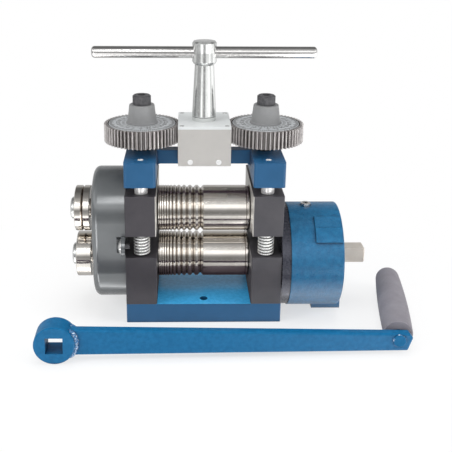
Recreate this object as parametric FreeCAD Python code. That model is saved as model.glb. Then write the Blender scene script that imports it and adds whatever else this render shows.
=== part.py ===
import FreeCAD, Part
import math
import os

# Jewellers rolling mill. Millimetres, +Z up, +X along the roll axes towards the
# gearbox, -Y towards the user. The origin is the centre of the base's underside.

V = FreeCAD.Vector

# ---- Clearances and fits -----------------------------------------------------
running_clearance = 0.08      # radial, shaft in bush or thread in nut
sliding_clearance = 0.3       # between faces that slide or turn past each other
hole_clearance = 0.3          # radial, screw shank in a plain hole

# ---- Rolls -------------------------------------------------------------------
roll_diameter = 51.6
barrel_length = 102.8
roll_gap = 4.8                # as stored, the rolls fully open
closed_gap = 0.3              # the smallest gap between the rolls
journal_radius = 12.5
gear_seat_radius = 11.8
neck_radius = 11.0
extension_seat_radius = 9.0
lower_axis_z = 59.4
wire_groove_widths = [6.4, 5.4, 4.6, 4.0, 3.2, 2.4, 1.9, 1.6, 1.4, 1.2, 1.0]
groove_land = 0.95            # land beside a groove of no width
groove_land_growth = 0.22     # more land per width of the groove
first_groove_edge_x = -0.2
end_relief_width = 0.9
end_relief_depth = 0.7
end_relief_inset = 3.2
barrel_chamfer = 0.6

# ---- Base --------------------------------------------------------------------
frame_half_depth = 55.5
base_thickness = 22.5
base_edge_radius = 1.2
bench_hole_spacing = 84.0
bench_hole_radius = 4.5

# ---- Bearing blocks (chocks) -------------------------------------------------
chock_width = 33.9
screw_inset = 17.6            # from a block's outer face to the pressure screws and guide pillars
barrel_end_clearance = 0.5
lower_chock_top_z = 78.5
upper_flange_bottom_z = 103.3
upper_chock_top_z = 149.2
chock_wall_under_bush = 4.5
upper_boss_half_depth = 28.0
bush_wall = 2.5
chock_chamfer = 0.8

# ---- Yoke and guide pillars --------------------------------------------------
yoke_bottom_z = 159.0
yoke_top_z = 186.4
yoke_corner_radius = 3.0
bridge_half_depth = 7.0
bridge_bottom_z = 170.7
bridge_fillet_radius = 4.0
pillar_y = 43.0
pillar_radius = 5.35
pillar_collar_radius = 7.2
pillar_root_depth = 26.0
pillar_spigot_radius = 6.5
pillar_spigot_height = 8.0
yoke_screw_head_radius = 7.5
yoke_screw_head_height = 4.5
yoke_screw_shank_radius = 3.5

# ---- Lift springs ------------------------------------------------------------
spring_outer_radius = 9.2
spring_wire_radius = 1.25
spring_turns = 7.0  # ---- Base screws -------------------------------------------------------------
base_screw_y = 30.0
base_screw_radius = 4.0
base_screw_head_radius = 6.5
base_screw_head_height = 8.0
base_screw_recess = 9.5
base_screw_length = 30.0

# ---- Pressure screws, gears and dials ----------------------------------------
screw_gear_teeth = 57
pinion_teeth = 39
pressure_angle = 20.0
gear_backlash = 0.2           # taken off each tooth's thickness
gear_bottom_z = 196.65
gear_face_width = 19.4
screw_thread_radius = 10.0
screw_tip_radius = 8.0
screw_tip_seat_depth = 5.0
screw_tip_length = 7.5
gear_hub_radius = 9.0
dial_rim = 2.0                # of the gear, between the dial's seat and the teeth's roots
dial_thickness = 3.2
dial_seat_depth = 2.8
dial_gap = 1.2
cone_base_radius = 16.0
cone_top_radius = 13.8
cone_bead_radius = 17.2
cone_bead_height = 1.6
cone_top_z = 236.9
cap_screw_head_radius = 9.7
cap_screw_head_height = 10.6
cap_screw_shank_radius = 5.0
cap_screw_shank_length = 22.0
cap_screw_socket_flats = 8.0
cap_screw_socket_depth = 6.0
spindle_top_gap = 6.0

# ---- Pinion housing ----------------------------------------------------------
housing_side_margin = 0.8     # beyond the pinion's pitch circle
housing_wall = 2.8            # round the pinion, front and rear
housing_bottom_z = 176.0
housing_floor = 3.0
pinion_end_clearance = 0.3
housing_cap_thickness = 3.0
gear_side_clearance = 0.8
spindle_foot_radius = 5.0
spindle_radius = 7.0
spindle_bush_radius = 9.5
bush_flange_radius = 13.1
bush_flange_height = 4.2
clamp_screw_x = 15.4
clamp_screw_z = 180.4
clamp_screw_head_radius = 3.0
clamp_screw_head_height = 2.4 # below the housing's face
clamp_screw_dome = 1.2        # above it
clamp_screw_radius = 2.0
clamp_screw_bite = 5.0
cap_screw_inset = 4.2
lid_screw_head_radius = 2.6
lid_screw_head_height = 1.6
lid_screw_radius = 1.5
lid_screw_length = 9.0

# ---- Tee handle --------------------------------------------------------------
column_base_radius = 13.1
column_top_radius = 10.35
tee_hub_radius = 13.2
tee_hub_top_z = 307.0
tee_hub_height = 25.0
tee_hub_chamfer = 1.6
tee_bar_radius = 6.35
tee_bar_length = 242.3
tee_bar_drop = 12.9           # from the hub's top to the bar's axis
tee_bar_rounding = 3.5
tee_seam = 0.5

# ---- Roll gears and their cover ----------------------------------------------
roll_gear_teeth = 10
roll_gear_pressure_angle = 28.0
roll_gear_addendum = 4.6
roll_gear_root_gap = 0.6
roll_gear_backlash = 0.5
roll_gear_width = 16.0
roll_gear_inset = 4.0
cover_radius = 48.0           # about each roll's axis, with straight sides between
cover_plate_thickness = 3.0
cover_depth = 34.3            # from the back plate to the outer face
cover_wall = 3.0
cover_corner_radius = 7.0
cover_hole_clearance = 2.0
cover_screw_offset = 3.5      # beyond the cover's straight side
cover_screw_rise = 3.0        # above the middle of the two roll axes
cover_screw_head_radius = 8.6
cover_screw_head_height = 3.4
cover_screw_radius = 3.0
cover_screw_tail = 4.7        # of the shank behind the back plate
cover_ear_radius = 10.8
cover_ear_thickness = 1.2
cover_pocket_radius = 10.0
cover_pocket_depth = 5.5
plate_screw_y = 36.0
plate_screw_z = 50.0
plate_screw_radius = 2.5
plate_screw_head_radius = 4.6
plate_screw_head_height = 2.5
plate_screw_length = 10.0

# ---- Extension rolls ---------------------------------------------------------
extension_gap = 4.3           # from the cover's face to the extension roll
extension_length = 16.8
extension_groove_width = 3.0
extension_groove_depth = 2.0
end_bolt_radius = 12.3
end_bolt_height = 5.8
end_bolt_shank_radius = 5.0
end_bolt_length = 14.0
end_bolt_socket_flats = 8.0
end_bolt_socket_depth = 4.0

# ---- Gearbox -----------------------------------------------------------------
gearbox_flange_radius = 58.4
gearbox_flange_thickness = 10.0
gearbox_radius = 59.4
gearbox_length = 58.3         # from the flange
gearbox_end_wall = 8.0
gearbox_edge_radius = 2.0
gearbox_bore_radius = 50.0
gearbox_cavity_radius = 45.0
ring_gear_start = 9.5         # from the flange's inner face
ring_gear_width = 16.0
planet_module = 1.5
sun_teeth = 18
planet_teeth = 18
planet_count = 3
planet_width = 13.0
planet_bore_radius = 5.0
planet_backlash = 0.16
carrier_radius = 36.0
carrier_thickness = 7.0
carrier_gap = 1.0             # from the carrier's face to the ring gear
carrier_seat_radius = 10.0
drive_journal_radius = 11.0
drive_bush_wall = 2.5
drive_square = 17.2
drive_square_length = 33.3
drive_square_chamfer = 1.2
gearbox_screw_circle = 53.8
gearbox_screw_angle = 28.5    # degrees, from the horizontal
gearbox_screw_radius = 2.5
gearbox_screw_head_radius = 3.8
gearbox_screw_head_height = 4.5
gearbox_screw_length = 22.0
flange_screw_y = 40.0
flange_screw_z_offset = 13.0
flange_screw_radius = 3.0
flange_screw_head_radius = 5.0
flange_screw_head_height = 5.0
flange_screw_bite = 9.0
pad_start = 26.9              # from the flange
pad_height = 1.8              # of the pad's part nearest the top
pad_step_height = 2.8         # of the part below it
pad_first_angle = 24.5        # from straight up, towards the front
pad_step_angle = 39.5
pad_last_angle = 56.0
foot_start = 29.8             # from the flange
foot_overhang = 4.4           # beyond the drum's end face
foot_half_width = 24.0
foot_top_z = 12.0
oil_plug_start = 21.2         # from the flange
oil_plug_radius = 5.8
oil_plug_head_height = 3.8
oil_plug_shank_radius = 4.0
oil_plug_socket_flats = 5.0
oil_plug_socket_depth = 3.5

# ---- Crank, lying in front of the mill ---------------------------------------
crank_x = -152.8
crank_y = -127.6
crank_yaw = 1.5               # degrees, seen from above
crank_hub_radius = 20.8
crank_hub_length = 22.8
crank_hub_chamfer = 1.0
socket_clearance = 0.2        # each side of the drive square
arm_length = 368.6
arm_thickness = 10.0
arm_height_at_hub = 29.4
arm_height_at_end = 20.1
arm_edge_radius = 2.4
arm_end_radius = 2.0
arm_end_slope = 4.5
grip_inset = 13.9             # from the arm's far end
grip_rise = 2.8               # the grip's axis above the arm's middle line
grip_splay = 11.0             # degrees, the grip's far end outwards
grip_spindle_radius = 5.0
grip_spindle_head_radius = 6.6
grip_spindle_head_height = 1.4
grip_spindle_free_length = 126.0
grip_radius = 16.2
grip_waist_radius = 15.2
grip_length = 141.0
grip_nose_radius = 9.0
grip_bore_clearance = 0.25
grip_end_gap = 1.3

# ---- Worked out --------------------------------------------------------------
roll_radius = roll_diameter / 2.0
barrel_end_x = barrel_length / 2.0
upper_axis_z = lower_axis_z + roll_diameter + roll_gap
chock_inner_x = barrel_end_x + barrel_end_clearance
chock_outer_x = chock_inner_x + chock_width
screw_x = chock_outer_x - screw_inset
gear_module = 2.0 * screw_x / (screw_gear_teeth + pinion_teeth)
pinion_tip_radius = gear_module * (pinion_teeth + 2) / 2.0
dial_radius = gear_module * (screw_gear_teeth - 2.5) / 2.0 - dial_rim
bush_radius = journal_radius + running_clearance + bush_wall
upper_boss_bottom_z = upper_axis_z - bush_radius - chock_wall_under_bush
travel = roll_gap - closed_gap
pillar_collar_height = yoke_bottom_z - upper_chock_top_z - sliding_clearance
cover_plate_x = -chock_outer_x - cover_plate_thickness
cover_end_x = cover_plate_x - cover_depth
cover_screw_y = cover_radius + cover_screw_offset
cover_screw_z = (lower_axis_z + upper_axis_z) / 2.0 + cover_screw_rise
flange_end_x = chock_outer_x + gearbox_flange_thickness
gearbox_end_x = flange_end_x + gearbox_length
pad_start_x = flange_end_x + pad_start
foot_start_x = flange_end_x + foot_start
oil_plug_x = flange_end_x + oil_plug_start
ring_gear_x = flange_end_x + ring_gear_start
gear_top_z = gear_bottom_z + gear_face_width
housing_half_width = gear_module * pinion_teeth / 2.0 + housing_side_margin
housing_half_depth = pinion_tip_radius + gear_side_clearance + housing_wall
housing_cavity_bottom_z = yoke_top_z + housing_floor
housing_top_z = gear_top_z + gear_side_clearance
housing_cap_top_z = housing_top_z + housing_cap_thickness
column_base_z = housing_cap_top_z + bush_flange_height + tee_seam
tee_hub_bottom_z = tee_hub_top_z - tee_hub_height
column_top_z = tee_hub_bottom_z - tee_seam
tee_bar_z = tee_hub_top_z - tee_bar_drop
drive_journal_start_x = gearbox_end_x - gearbox_end_wall
grip_offset = arm_length - grip_inset
crank_rest_drop = crank_hub_radius + grip_rise - grip_radius
crank_lean = math.degrees(math.asin(crank_rest_drop / grip_offset))  # hub and grip rest on the bench
grip_start_y = arm_thickness / 2.0 + grip_end_gap


# ---- Small helpers -----------------------------------------------------------
def box(x0, x1, y0, y1, z0, z1):
    return Part.makeBox(x1 - x0, y1 - y0, z1 - z0, V(x0, y0, z0))


def cyl_x(x0, x1, radius, y, z):
    return Part.makeCylinder(radius, x1 - x0, V(x0, y, z), V(1, 0, 0))


def cyl_y(y0, y1, radius, x, z):
    return Part.makeCylinder(radius, y1 - y0, V(x, y0, z), V(0, 1, 0))


def cyl_z(z0, z1, radius, x, y):
    return Part.makeCylinder(radius, z1 - z0, V(x, y, z0), V(0, 0, 1))


def hexagon_z(flats, z0, z1, x, y):
    corner = flats / math.sqrt(3.0)
    points = []
    for i in range(7):
        angle = math.radians(60.0 * i)
        points.append(V(x + corner * math.cos(angle), y + corner * math.sin(angle), z0))
    return Part.Face(Part.makePolygon(points)).extrude(V(0, 0, z1 - z0))


def hexagon_x(flats, x0, x1, y, z):
    socket = hexagon_z(flats, 0.0, x1 - x0, 0.0, 0.0)
    socket.Placement = along_x(x0, y, z)
    return socket


def along_x(x, y, z):
    """Placement that takes a piece drawn about +Z to the axis +X."""
    turn = FreeCAD.Rotation(V(0, 1, 0), V(0, 0, 1), V(1, 0, 0), "XYZ")
    return FreeCAD.Placement(V(x, y, z), turn)


def turned_x(profile, y, z):
    """Solid of revolution about +X from (x, radius) points."""
    points = [V(x, y, z + radius) for x, radius in profile]
    points = [V(profile[0][0], y, z)] + points + [V(profile[-1][0], y, z)]
    points.append(points[0])
    face = Part.Face(Part.makePolygon(points))
    return face.revolve(V(0, y, z), V(1, 0, 0), 360.0)


def turned_z(profile, x, y):
    """Solid of revolution about +Z from (radius, z) points."""
    points = [V(x + radius, y, z) for radius, z in profile]
    points = [V(x, y, profile[0][1])] + points + [V(x, y, profile[-1][1])]
    points.append(points[0])
    face = Part.Face(Part.makePolygon(points))
    return face.revolve(V(x, y, 0), V(0, 0, 1), 360.0)


def cut_all(shape, tools):
    for tool in tools:
        shape = shape.cut(tool)
    return shape


def fuse_all(shapes):
    result = shapes[0]
    for shape in shapes[1:]:
        result = result.fuse(shape)
    return result.removeSplitter()


def group(shapes):
    return Part.makeCompound(shapes)


def edges_along(shape, axis, test=None):
    """Straight edges parallel to an axis whose middle passes the test."""
    chosen = []
    for edge in shape.Edges:
        if not isinstance(edge.Curve, Part.Line):
            continue
        direction = edge.tangentAt(edge.FirstParameter)
        if abs(direction.dot(axis)) < 0.999:
            continue
        if test is None or test(edge.CenterOfMass):
            chosen.append(edge)
    return chosen


def mirrored_x(shape):
    return shape.mirror(V(0, 0, 0), V(1, 0, 0))


# ---- Spur gears --------------------------------------------------------------
def involute(angle):
    return math.tan(angle) - angle


def tooth_half_angle(radius, pitch_radius, teeth, flank_angle, thinning):
    """Half the angle that a tooth spans at a radius."""
    base_radius = pitch_radius * math.cos(flank_angle)
    at_radius = math.acos(min(1.0, base_radius / max(radius, base_radius)))
    at_pitch = math.pi / (2.0 * teeth) - thinning / (2.0 * pitch_radius)
    return at_pitch + involute(flank_angle) - involute(at_radius)


def polar(radius, angle):
    return V(radius * math.cos(angle), radius * math.sin(angle), 0)


def toothed_face(teeth, pitch_radius, tip_radius, root_radius, degrees, thinning, phase):
    """Outline of an external gear about the origin, one tooth centred on phase."""
    flank_angle = math.radians(degrees)
    base_radius = pitch_radius * math.cos(flank_angle)
    start_radius = max(root_radius, base_radius * 1.001)
    middle_radius = (start_radius + tip_radius) / 2.0

    def half(radius):
        return tooth_half_angle(radius, pitch_radius, teeth, flank_angle, thinning)

    step = 2.0 * math.pi / teeth
    edges = []
    for i in range(teeth):
        centre = phase + i * step
        if start_radius > root_radius + 1e-6:
            foot = polar(root_radius, centre - half(start_radius))
            edges.append(Part.makeLine(foot, polar(start_radius, centre - half(start_radius))))
        edges.append(Part.Arc(polar(start_radius, centre - half(start_radius)),
                              polar(middle_radius, centre - half(middle_radius)),
                              polar(tip_radius, centre - half(tip_radius))).toShape())
        edges.append(Part.Arc(polar(tip_radius, centre - half(tip_radius)),
                              polar(tip_radius, centre),
                              polar(tip_radius, centre + half(tip_radius))).toShape())
        edges.append(Part.Arc(polar(tip_radius, centre + half(tip_radius)),
                              polar(middle_radius, centre + half(middle_radius)),
                              polar(start_radius, centre + half(start_radius))).toShape())
        if start_radius > root_radius + 1e-6:
            foot = polar(root_radius, centre + half(start_radius))
            edges.append(Part.makeLine(polar(start_radius, centre + half(start_radius)), foot))
        edges.append(Part.Arc(polar(root_radius, centre + half(start_radius)),
                              polar(root_radius, centre + step / 2.0),
                              polar(root_radius, centre + step - half(start_radius))).toShape())
    return Part.Face(Part.Wire(edges))


def standard_gear(teeth, module, width, thinning, phase):
    pitch_radius = module * teeth / 2.0
    face = toothed_face(teeth, pitch_radius, pitch_radius + module, pitch_radius - 1.25 * module,
                        pressure_angle, thinning, phase)
    return face.extrude(V(0, 0, width))


# ---- Base and lower bearing blocks -------------------------------------------
def make_base():
    base = box(-chock_outer_x, chock_outer_x, -frame_half_depth, frame_half_depth, 0, base_thickness)
    base = base.makeFillet(base_edge_radius, edges_along(base, V(0, 0, 1)))
    for side in (-1, 1):
        y = side * bench_hole_spacing / 2.0
        base = base.cut(cyl_z(-1, base_thickness + 1, bench_hole_radius, 0, y))
        for x in (-screw_x, screw_x):
            y = side * base_screw_y
            base = base.cut(cyl_z(-1, base_thickness + 1, base_screw_radius + hole_clearance, x, y))
            base = base.cut(cyl_z(-1, base_screw_recess, base_screw_head_radius + hole_clearance, x, y))
    return base


def make_base_screws():
    screws = []
    head_bottom = base_screw_recess - base_screw_head_height
    for x in (-screw_x, screw_x):
        for y in (-base_screw_y, base_screw_y):
            head = cyl_z(head_bottom, base_screw_recess, base_screw_head_radius, x, y)
            shank = cyl_z(base_screw_recess, base_screw_recess + base_screw_length, base_screw_radius, x, y)
            socket = hexagon_z(base_screw_radius * 1.5, head_bottom - 1, head_bottom + 4, x, y)
            screws.append(head.fuse(shank).cut(socket).removeSplitter())
    return group(screws)


def make_lower_chock(side):
    """The right-hand block, mirrored for the left."""
    chock = box(chock_inner_x, chock_outer_x, -frame_half_depth, frame_half_depth,
                base_thickness, lower_chock_top_z)
    corners = edges_along(chock, V(0, 0, 1))
    chock = chock.makeChamfer(chock_chamfer, corners)
    chock = chock.cut(cyl_x(chock_inner_x - 1, chock_outer_x + 1, bush_radius, 0, lower_axis_z))
    screw_end = base_screw_recess + base_screw_length
    for y in (-1, 1):
        chock = chock.cut(cyl_z(base_thickness - 1, screw_end, base_screw_radius, screw_x, y * base_screw_y))
        chock = chock.cut(cyl_z(lower_chock_top_z - pillar_root_depth, lower_chock_top_z + 1,
                                pillar_radius, screw_x, y * pillar_y))
    if side > 0:
        for y, z in flange_screw_places():
            chock = chock.cut(cyl_x(chock_outer_x - flange_screw_bite, chock_outer_x + 1,
                                    flange_screw_radius, y, z))
        return chock
    reach = plate_screw_length + plate_screw_head_height - cover_plate_thickness
    for y in (-plate_screw_y, plate_screw_y):
        chock = chock.cut(cyl_x(chock_outer_x - reach, chock_outer_x + 1, plate_screw_radius,
                                y, plate_screw_z))
    return mirrored_x(chock)


def make_bushes(axis_z, end_gap):
    """Bearing bushes of one roll, flush with the blocks' faces."""
    bushes = []
    for side in (-1, 1):
        x0, x1 = sorted((side * (chock_inner_x + end_gap), side * (chock_outer_x - end_gap)))
        bush = cyl_x(x0, x1, bush_radius, 0, axis_z)
        bushes.append(bush.cut(cyl_x(x0 - 1, x1 + 1, journal_radius + running_clearance, 0, axis_z)))
    return group(bushes)


def make_guide_pillars():
    pillars = []
    for x in (-screw_x, screw_x):
        for y in (-pillar_y, pillar_y):
            shank = cyl_z(lower_chock_top_z - pillar_root_depth, yoke_bottom_z, pillar_radius, x, y)
            collar = cyl_z(yoke_bottom_z - pillar_collar_height, yoke_bottom_z, pillar_collar_radius, x, y)
            spigot = cyl_z(yoke_bottom_z, yoke_bottom_z + pillar_spigot_height, pillar_spigot_radius, x, y)
            pillar = fuse_all([shank, collar, spigot])
            thread = cyl_z(yoke_bottom_z - 4, yoke_bottom_z + pillar_spigot_height + 1,
                           yoke_screw_shank_radius, x, y)
            pillars.append(pillar.cut(thread))
    return group(pillars)


def make_lift_springs():
    """Open coils round the pillars, from the lower blocks to the upper ones."""
    coil_radius = spring_outer_radius - spring_wire_radius
    height = upper_flange_bottom_z - lower_chock_top_z - 2.0 * spring_wire_radius - 0.1
    helix = Part.makeHelix(height / spring_turns, height, coil_radius)
    ring = Part.Wire(Part.makeCircle(spring_wire_radius, V(coil_radius, 0, 0), V(0, 1, 0)))
    coil = Part.Wire(helix).makePipeShell([ring], True, True)
    start_z = lower_chock_top_z + spring_wire_radius + 0.05
    springs = []
    for x in (-screw_x, screw_x):
        for y in (-pillar_y, pillar_y):
            springs.append(coil.translated(V(x, y, start_z)))
    return group(springs)


# ---- Upper carriage ----------------------------------------------------------
def make_upper_chock(side):
    """The right-hand block, mirrored for the left; it slides between the barrel and the covers."""
    x0 = chock_inner_x + sliding_clearance
    x1 = chock_outer_x - sliding_clearance
    body = box(x0, x1, -frame_half_depth, frame_half_depth, upper_flange_bottom_z, upper_chock_top_z)
    body = body.makeChamfer(chock_chamfer, edges_along(body, V(0, 0, 1)))
    boss = box(x0, x1, -upper_boss_half_depth, upper_boss_half_depth,
               upper_boss_bottom_z, upper_flange_bottom_z + 1)
    chock = body.fuse(boss).removeSplitter()
    chock = chock.cut(cyl_x(x0 - 1, x1 + 1, bush_radius, 0, upper_axis_z))
    for y in (-pillar_y, pillar_y):
        chock = chock.cut(cyl_z(upper_flange_bottom_z - 1, upper_chock_top_z + 1,
                                pillar_radius + running_clearance, screw_x, y))
    seat = cyl_z(upper_chock_top_z - screw_tip_seat_depth, upper_chock_top_z + 1,
                 screw_tip_radius + running_clearance, screw_x, 0)
    chock = chock.cut(seat)
    return chock if side > 0 else mirrored_x(chock)


# ---- Yoke --------------------------------------------------------------------
def make_yoke():
    blocks = []
    for side in (-1, 1):
        x0, x1 = sorted((side * chock_inner_x, side * chock_outer_x))
        block = box(x0, x1, -frame_half_depth, frame_half_depth, yoke_bottom_z, yoke_top_z)
        block = block.makeFillet(yoke_corner_radius, edges_along(block, V(0, 0, 1)))
        blocks.append(block)
    bridge = box(-chock_inner_x, chock_inner_x, -bridge_half_depth, bridge_half_depth,
                 bridge_bottom_z, yoke_top_z)
    yoke = blocks[0].fuse(blocks[1]).fuse(bridge)
    inner = chock_inner_x - bridge_fillet_radius
    for side in (-1, 1):
        x0, x1 = sorted((side * inner, side * (chock_inner_x + 0.01)))
        web = box(x0, x1, -bridge_half_depth, bridge_half_depth,
                  bridge_bottom_z - bridge_fillet_radius, bridge_bottom_z)
        scoop = cyl_y(-bridge_half_depth - 1, bridge_half_depth + 1, bridge_fillet_radius,
                      side * inner, bridge_bottom_z - bridge_fillet_radius)
        yoke = yoke.fuse(web.cut(scoop))
    yoke = yoke.removeSplitter()
    for x in (-screw_x, screw_x):
        nut = cyl_z(yoke_bottom_z - 1, yoke_top_z + 1, screw_thread_radius + running_clearance, x, 0)
        yoke = yoke.cut(nut)
        for y in (-pillar_y, pillar_y):
            spigot = cyl_z(yoke_bottom_z - 1, yoke_bottom_z + pillar_spigot_height,
                           pillar_spigot_radius, x, y)
            shank = cyl_z(yoke_bottom_z, yoke_top_z, yoke_screw_shank_radius + hole_clearance, x, y)
            head = cyl_z(yoke_top_z - yoke_screw_head_height, yoke_top_z + 1,
                         yoke_screw_head_radius + hole_clearance, x, y)
            yoke = cut_all(yoke, [spigot, shank, head])
    for side in (-1, 1):
        for x in (-clamp_screw_x, clamp_screw_x):
            y0, y1 = sorted((side * (bridge_half_depth - clamp_screw_bite), side * (bridge_half_depth + 1)))
            yoke = yoke.cut(cyl_y(y0, y1, clamp_screw_radius, x, clamp_screw_z))
    return yoke


def make_yoke_screws():
    screws = []
    for x in (-screw_x, screw_x):
        for y in (-pillar_y, pillar_y):
            head = cyl_z(yoke_top_z - yoke_screw_head_height, yoke_top_z, yoke_screw_head_radius, x, y)
            shank = cyl_z(yoke_bottom_z - 2, yoke_top_z - yoke_screw_head_height,
                          yoke_screw_shank_radius, x, y)
            socket = hexagon_z(yoke_screw_shank_radius * 1.7, yoke_top_z - 3, yoke_top_z + 1, x, y)
            screws.append(head.fuse(shank).cut(socket).removeSplitter())
    return group(screws)


# ---- Pressure screws ---------------------------------------------------------
def screw_gear_phase(side):
    """A gap faces the pinion's tooth where the two pitch circles meet."""
    towards_pinion = 0.0 if side < 0 else math.pi
    pinion_side = math.pi if side < 0 else 0.0
    pinion_part = (pinion_side - 0.0) * pinion_teeth / (2.0 * math.pi)
    own_part = 0.5 - pinion_part
    return towards_pinion - own_part * 2.0 * math.pi / screw_gear_teeth


def make_screw_spindle(x):
    tip_bottom = upper_chock_top_z - screw_tip_seat_depth
    spindle_top = cone_top_z - spindle_top_gap
    profile = [(screw_tip_radius - 0.8, tip_bottom), (screw_tip_radius, tip_bottom + 0.8),
               (screw_tip_radius, tip_bottom + screw_tip_length),
               (screw_thread_radius, tip_bottom + screw_tip_length + 1.5),
               (screw_thread_radius, gear_bottom_z), (gear_hub_radius, gear_bottom_z),
               (gear_hub_radius, spindle_top)]
    spindle = turned_z(profile, x, 0)
    thread_bottom = cone_top_z - cap_screw_shank_length
    return spindle.cut(cyl_z(thread_bottom, spindle_top + 1, cap_screw_shank_radius, x, 0))


def make_screw_gear(x, side):
    pitch_radius = gear_module * screw_gear_teeth / 2.0
    face = toothed_face(screw_gear_teeth, pitch_radius, pitch_radius + gear_module,
                        pitch_radius - 1.25 * gear_module, pressure_angle, gear_backlash,
                        screw_gear_phase(side))
    gear = face.extrude(V(0, 0, gear_face_width))
    gear = gear.translated(V(x, 0, gear_bottom_z))
    seat = cyl_z(gear_top_z - dial_seat_depth, gear_top_z + 1, dial_radius + dial_gap, x, 0)
    bore = cyl_z(gear_bottom_z - 1, gear_top_z + 1, gear_hub_radius, x, 0)
    return cut_all(gear, [seat, bore])


def make_dial(x):
    bottom = gear_top_z - dial_seat_depth
    top = bottom + dial_thickness
    profile = [(dial_radius, bottom), (dial_radius, top - 0.4), (dial_radius - 0.4, top)]
    dial = turned_z(profile, x, 0)
    return dial.cut(cyl_z(bottom - 1, top + 1, gear_hub_radius, x, 0))


def dial_top():
    return gear_top_z - dial_seat_depth + dial_thickness


def make_cone_boss(x):
    bottom = dial_top()
    profile = [(cone_bead_radius, bottom), (cone_bead_radius, bottom + cone_bead_height * 0.6),
               (cone_base_radius, bottom + cone_bead_height),
               (cone_top_radius, cone_top_z - 0.6), (cone_top_radius - 0.6, cone_top_z)]
    boss = turned_z(profile, x, 0)
    boss = boss.cut(cyl_z(bottom - 1, cone_top_z - spindle_top_gap + 0.5, gear_hub_radius, x, 0))
    return boss.cut(cyl_z(bottom, cone_top_z + 1, cap_screw_shank_radius + hole_clearance, x, 0))


def make_cap_screw(x):
    head_top = cone_top_z + cap_screw_head_height
    profile = [(cap_screw_head_radius, cone_top_z), (cap_screw_head_radius, head_top - 1.0),
               (cap_screw_head_radius - 1.0, head_top)]
    head = turned_z(profile, x, 0)
    shank = cyl_z(cone_top_z - cap_screw_shank_length + 0.5, cone_top_z, cap_screw_shank_radius, x, 0)
    socket = hexagon_z(cap_screw_socket_flats, head_top - cap_screw_socket_depth, head_top + 1, x, 0)
    return head.fuse(shank).cut(socket).removeSplitter()


# ---- Pinion housing ----------------------------------------------------------
def housing_screw_corners():
    places = []
    for x in (-1, 1):
        for y in (-1, 1):
            places.append((x * (housing_half_width - cap_screw_inset),
                           y * (housing_half_depth - cap_screw_inset)))
    return places


def make_pinion_housing():
    housing = box(-housing_half_width, housing_half_width, -housing_half_depth, housing_half_depth,
                  housing_bottom_z, housing_top_z)
    saddle = box(-housing_half_width - 1, housing_half_width + 1, -bridge_half_depth, bridge_half_depth,
                 housing_bottom_z - 1, yoke_top_z)
    tip_radius = pinion_tip_radius
    cavity = cyl_z(housing_cavity_bottom_z, housing_top_z + 1, tip_radius + gear_side_clearance * 0.6, 0, 0)
    foot = cyl_z(yoke_top_z - 1, housing_top_z, spindle_foot_radius + running_clearance, 0, 0)
    housing = cut_all(housing, [saddle, cavity, foot])
    sweep_radius = gear_module * (screw_gear_teeth + 2) / 2.0 + gear_side_clearance
    lowest = gear_bottom_z - travel - gear_side_clearance
    for side in (-1, 1):
        x = side * screw_x
        housing = housing.cut(cyl_z(lowest, housing_top_z + 1, sweep_radius, x, 0))
    for x, y in housing_screw_corners():
        housing = housing.cut(cyl_z(housing_top_z - lid_screw_length, housing_top_z + 1,
                                    lid_screw_radius, x, y))
    for side in (-1, 1):
        for x in (-clamp_screw_x, clamp_screw_x):
            face = side * housing_half_depth
            y0, y1 = sorted((side * (bridge_half_depth - 1), face + side))
            hole = cyl_y(y0, y1, clamp_screw_radius, x, clamp_screw_z)
            y0, y1 = sorted((face - side * clamp_screw_head_height, face + side))
            recess = cyl_y(y0, y1, clamp_screw_head_radius, x, clamp_screw_z)
            housing = cut_all(housing, [hole, recess])
    return housing


def make_housing_cap():
    cap = box(-housing_half_width, housing_half_width, -housing_half_depth, housing_half_depth,
              housing_top_z, housing_cap_top_z)
    cap = cap.makeChamfer(0.5, edges_along(cap, V(0, 0, 1)))
    cap = cap.cut(cyl_z(housing_top_z - 1, housing_cap_top_z + 1, spindle_bush_radius, 0, 0))
    for x, y in housing_screw_corners():
        cap = cap.cut(cyl_z(housing_top_z - 1, housing_cap_top_z + 1, lid_screw_radius, x, y))
        cap = cap.cut(cyl_z(housing_cap_top_z - lid_screw_head_height, housing_cap_top_z + 1,
                            lid_screw_head_radius, x, y))
    return cap


def make_housing_screws():
    """Four flush screws through the cap and four that clamp the housing to the bridge."""
    screws = []
    for x, y in housing_screw_corners():
        head = cyl_z(housing_cap_top_z - lid_screw_head_height, housing_cap_top_z,
                     lid_screw_head_radius, x, y)
        shank = cyl_z(housing_top_z - lid_screw_length, housing_cap_top_z - lid_screw_head_height,
                      lid_screw_radius, x, y)
        slot = box(x - lid_screw_head_radius, x + lid_screw_head_radius, y - 0.4, y + 0.4,
                   housing_cap_top_z - 0.8, housing_cap_top_z + 1)
        screws.append(head.fuse(shank).cut(slot).removeSplitter())
    for side in (-1, 1):
        for x in (-clamp_screw_x, clamp_screw_x):
            face = side * housing_half_depth
            inner = side * (bridge_half_depth - clamp_screw_bite)
            crown = face + side * clamp_screw_dome
            y0, y1 = sorted((face - side * clamp_screw_head_height, crown))
            head = cyl_y(y0, y1, clamp_screw_head_radius, x, clamp_screw_z)
            rim = [edge for edge in head.Edges
                   if isinstance(edge.Curve, Part.Circle) and abs(edge.CenterOfMass.y - crown) < 0.01]
            head = head.makeFillet(clamp_screw_dome * 0.9, rim)
            y0, y1 = sorted((inner, face - side * clamp_screw_head_height))
            shank = cyl_y(y0, y1, clamp_screw_radius, x, clamp_screw_z)
            y0, y1 = sorted((crown - side, crown + side))
            slot = box(x - clamp_screw_head_radius, x + clamp_screw_head_radius, y0, y1,
                       clamp_screw_z - 0.45, clamp_screw_z + 0.45)
            screws.append(head.fuse(shank).cut(slot).removeSplitter())
    return group(screws)


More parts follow.
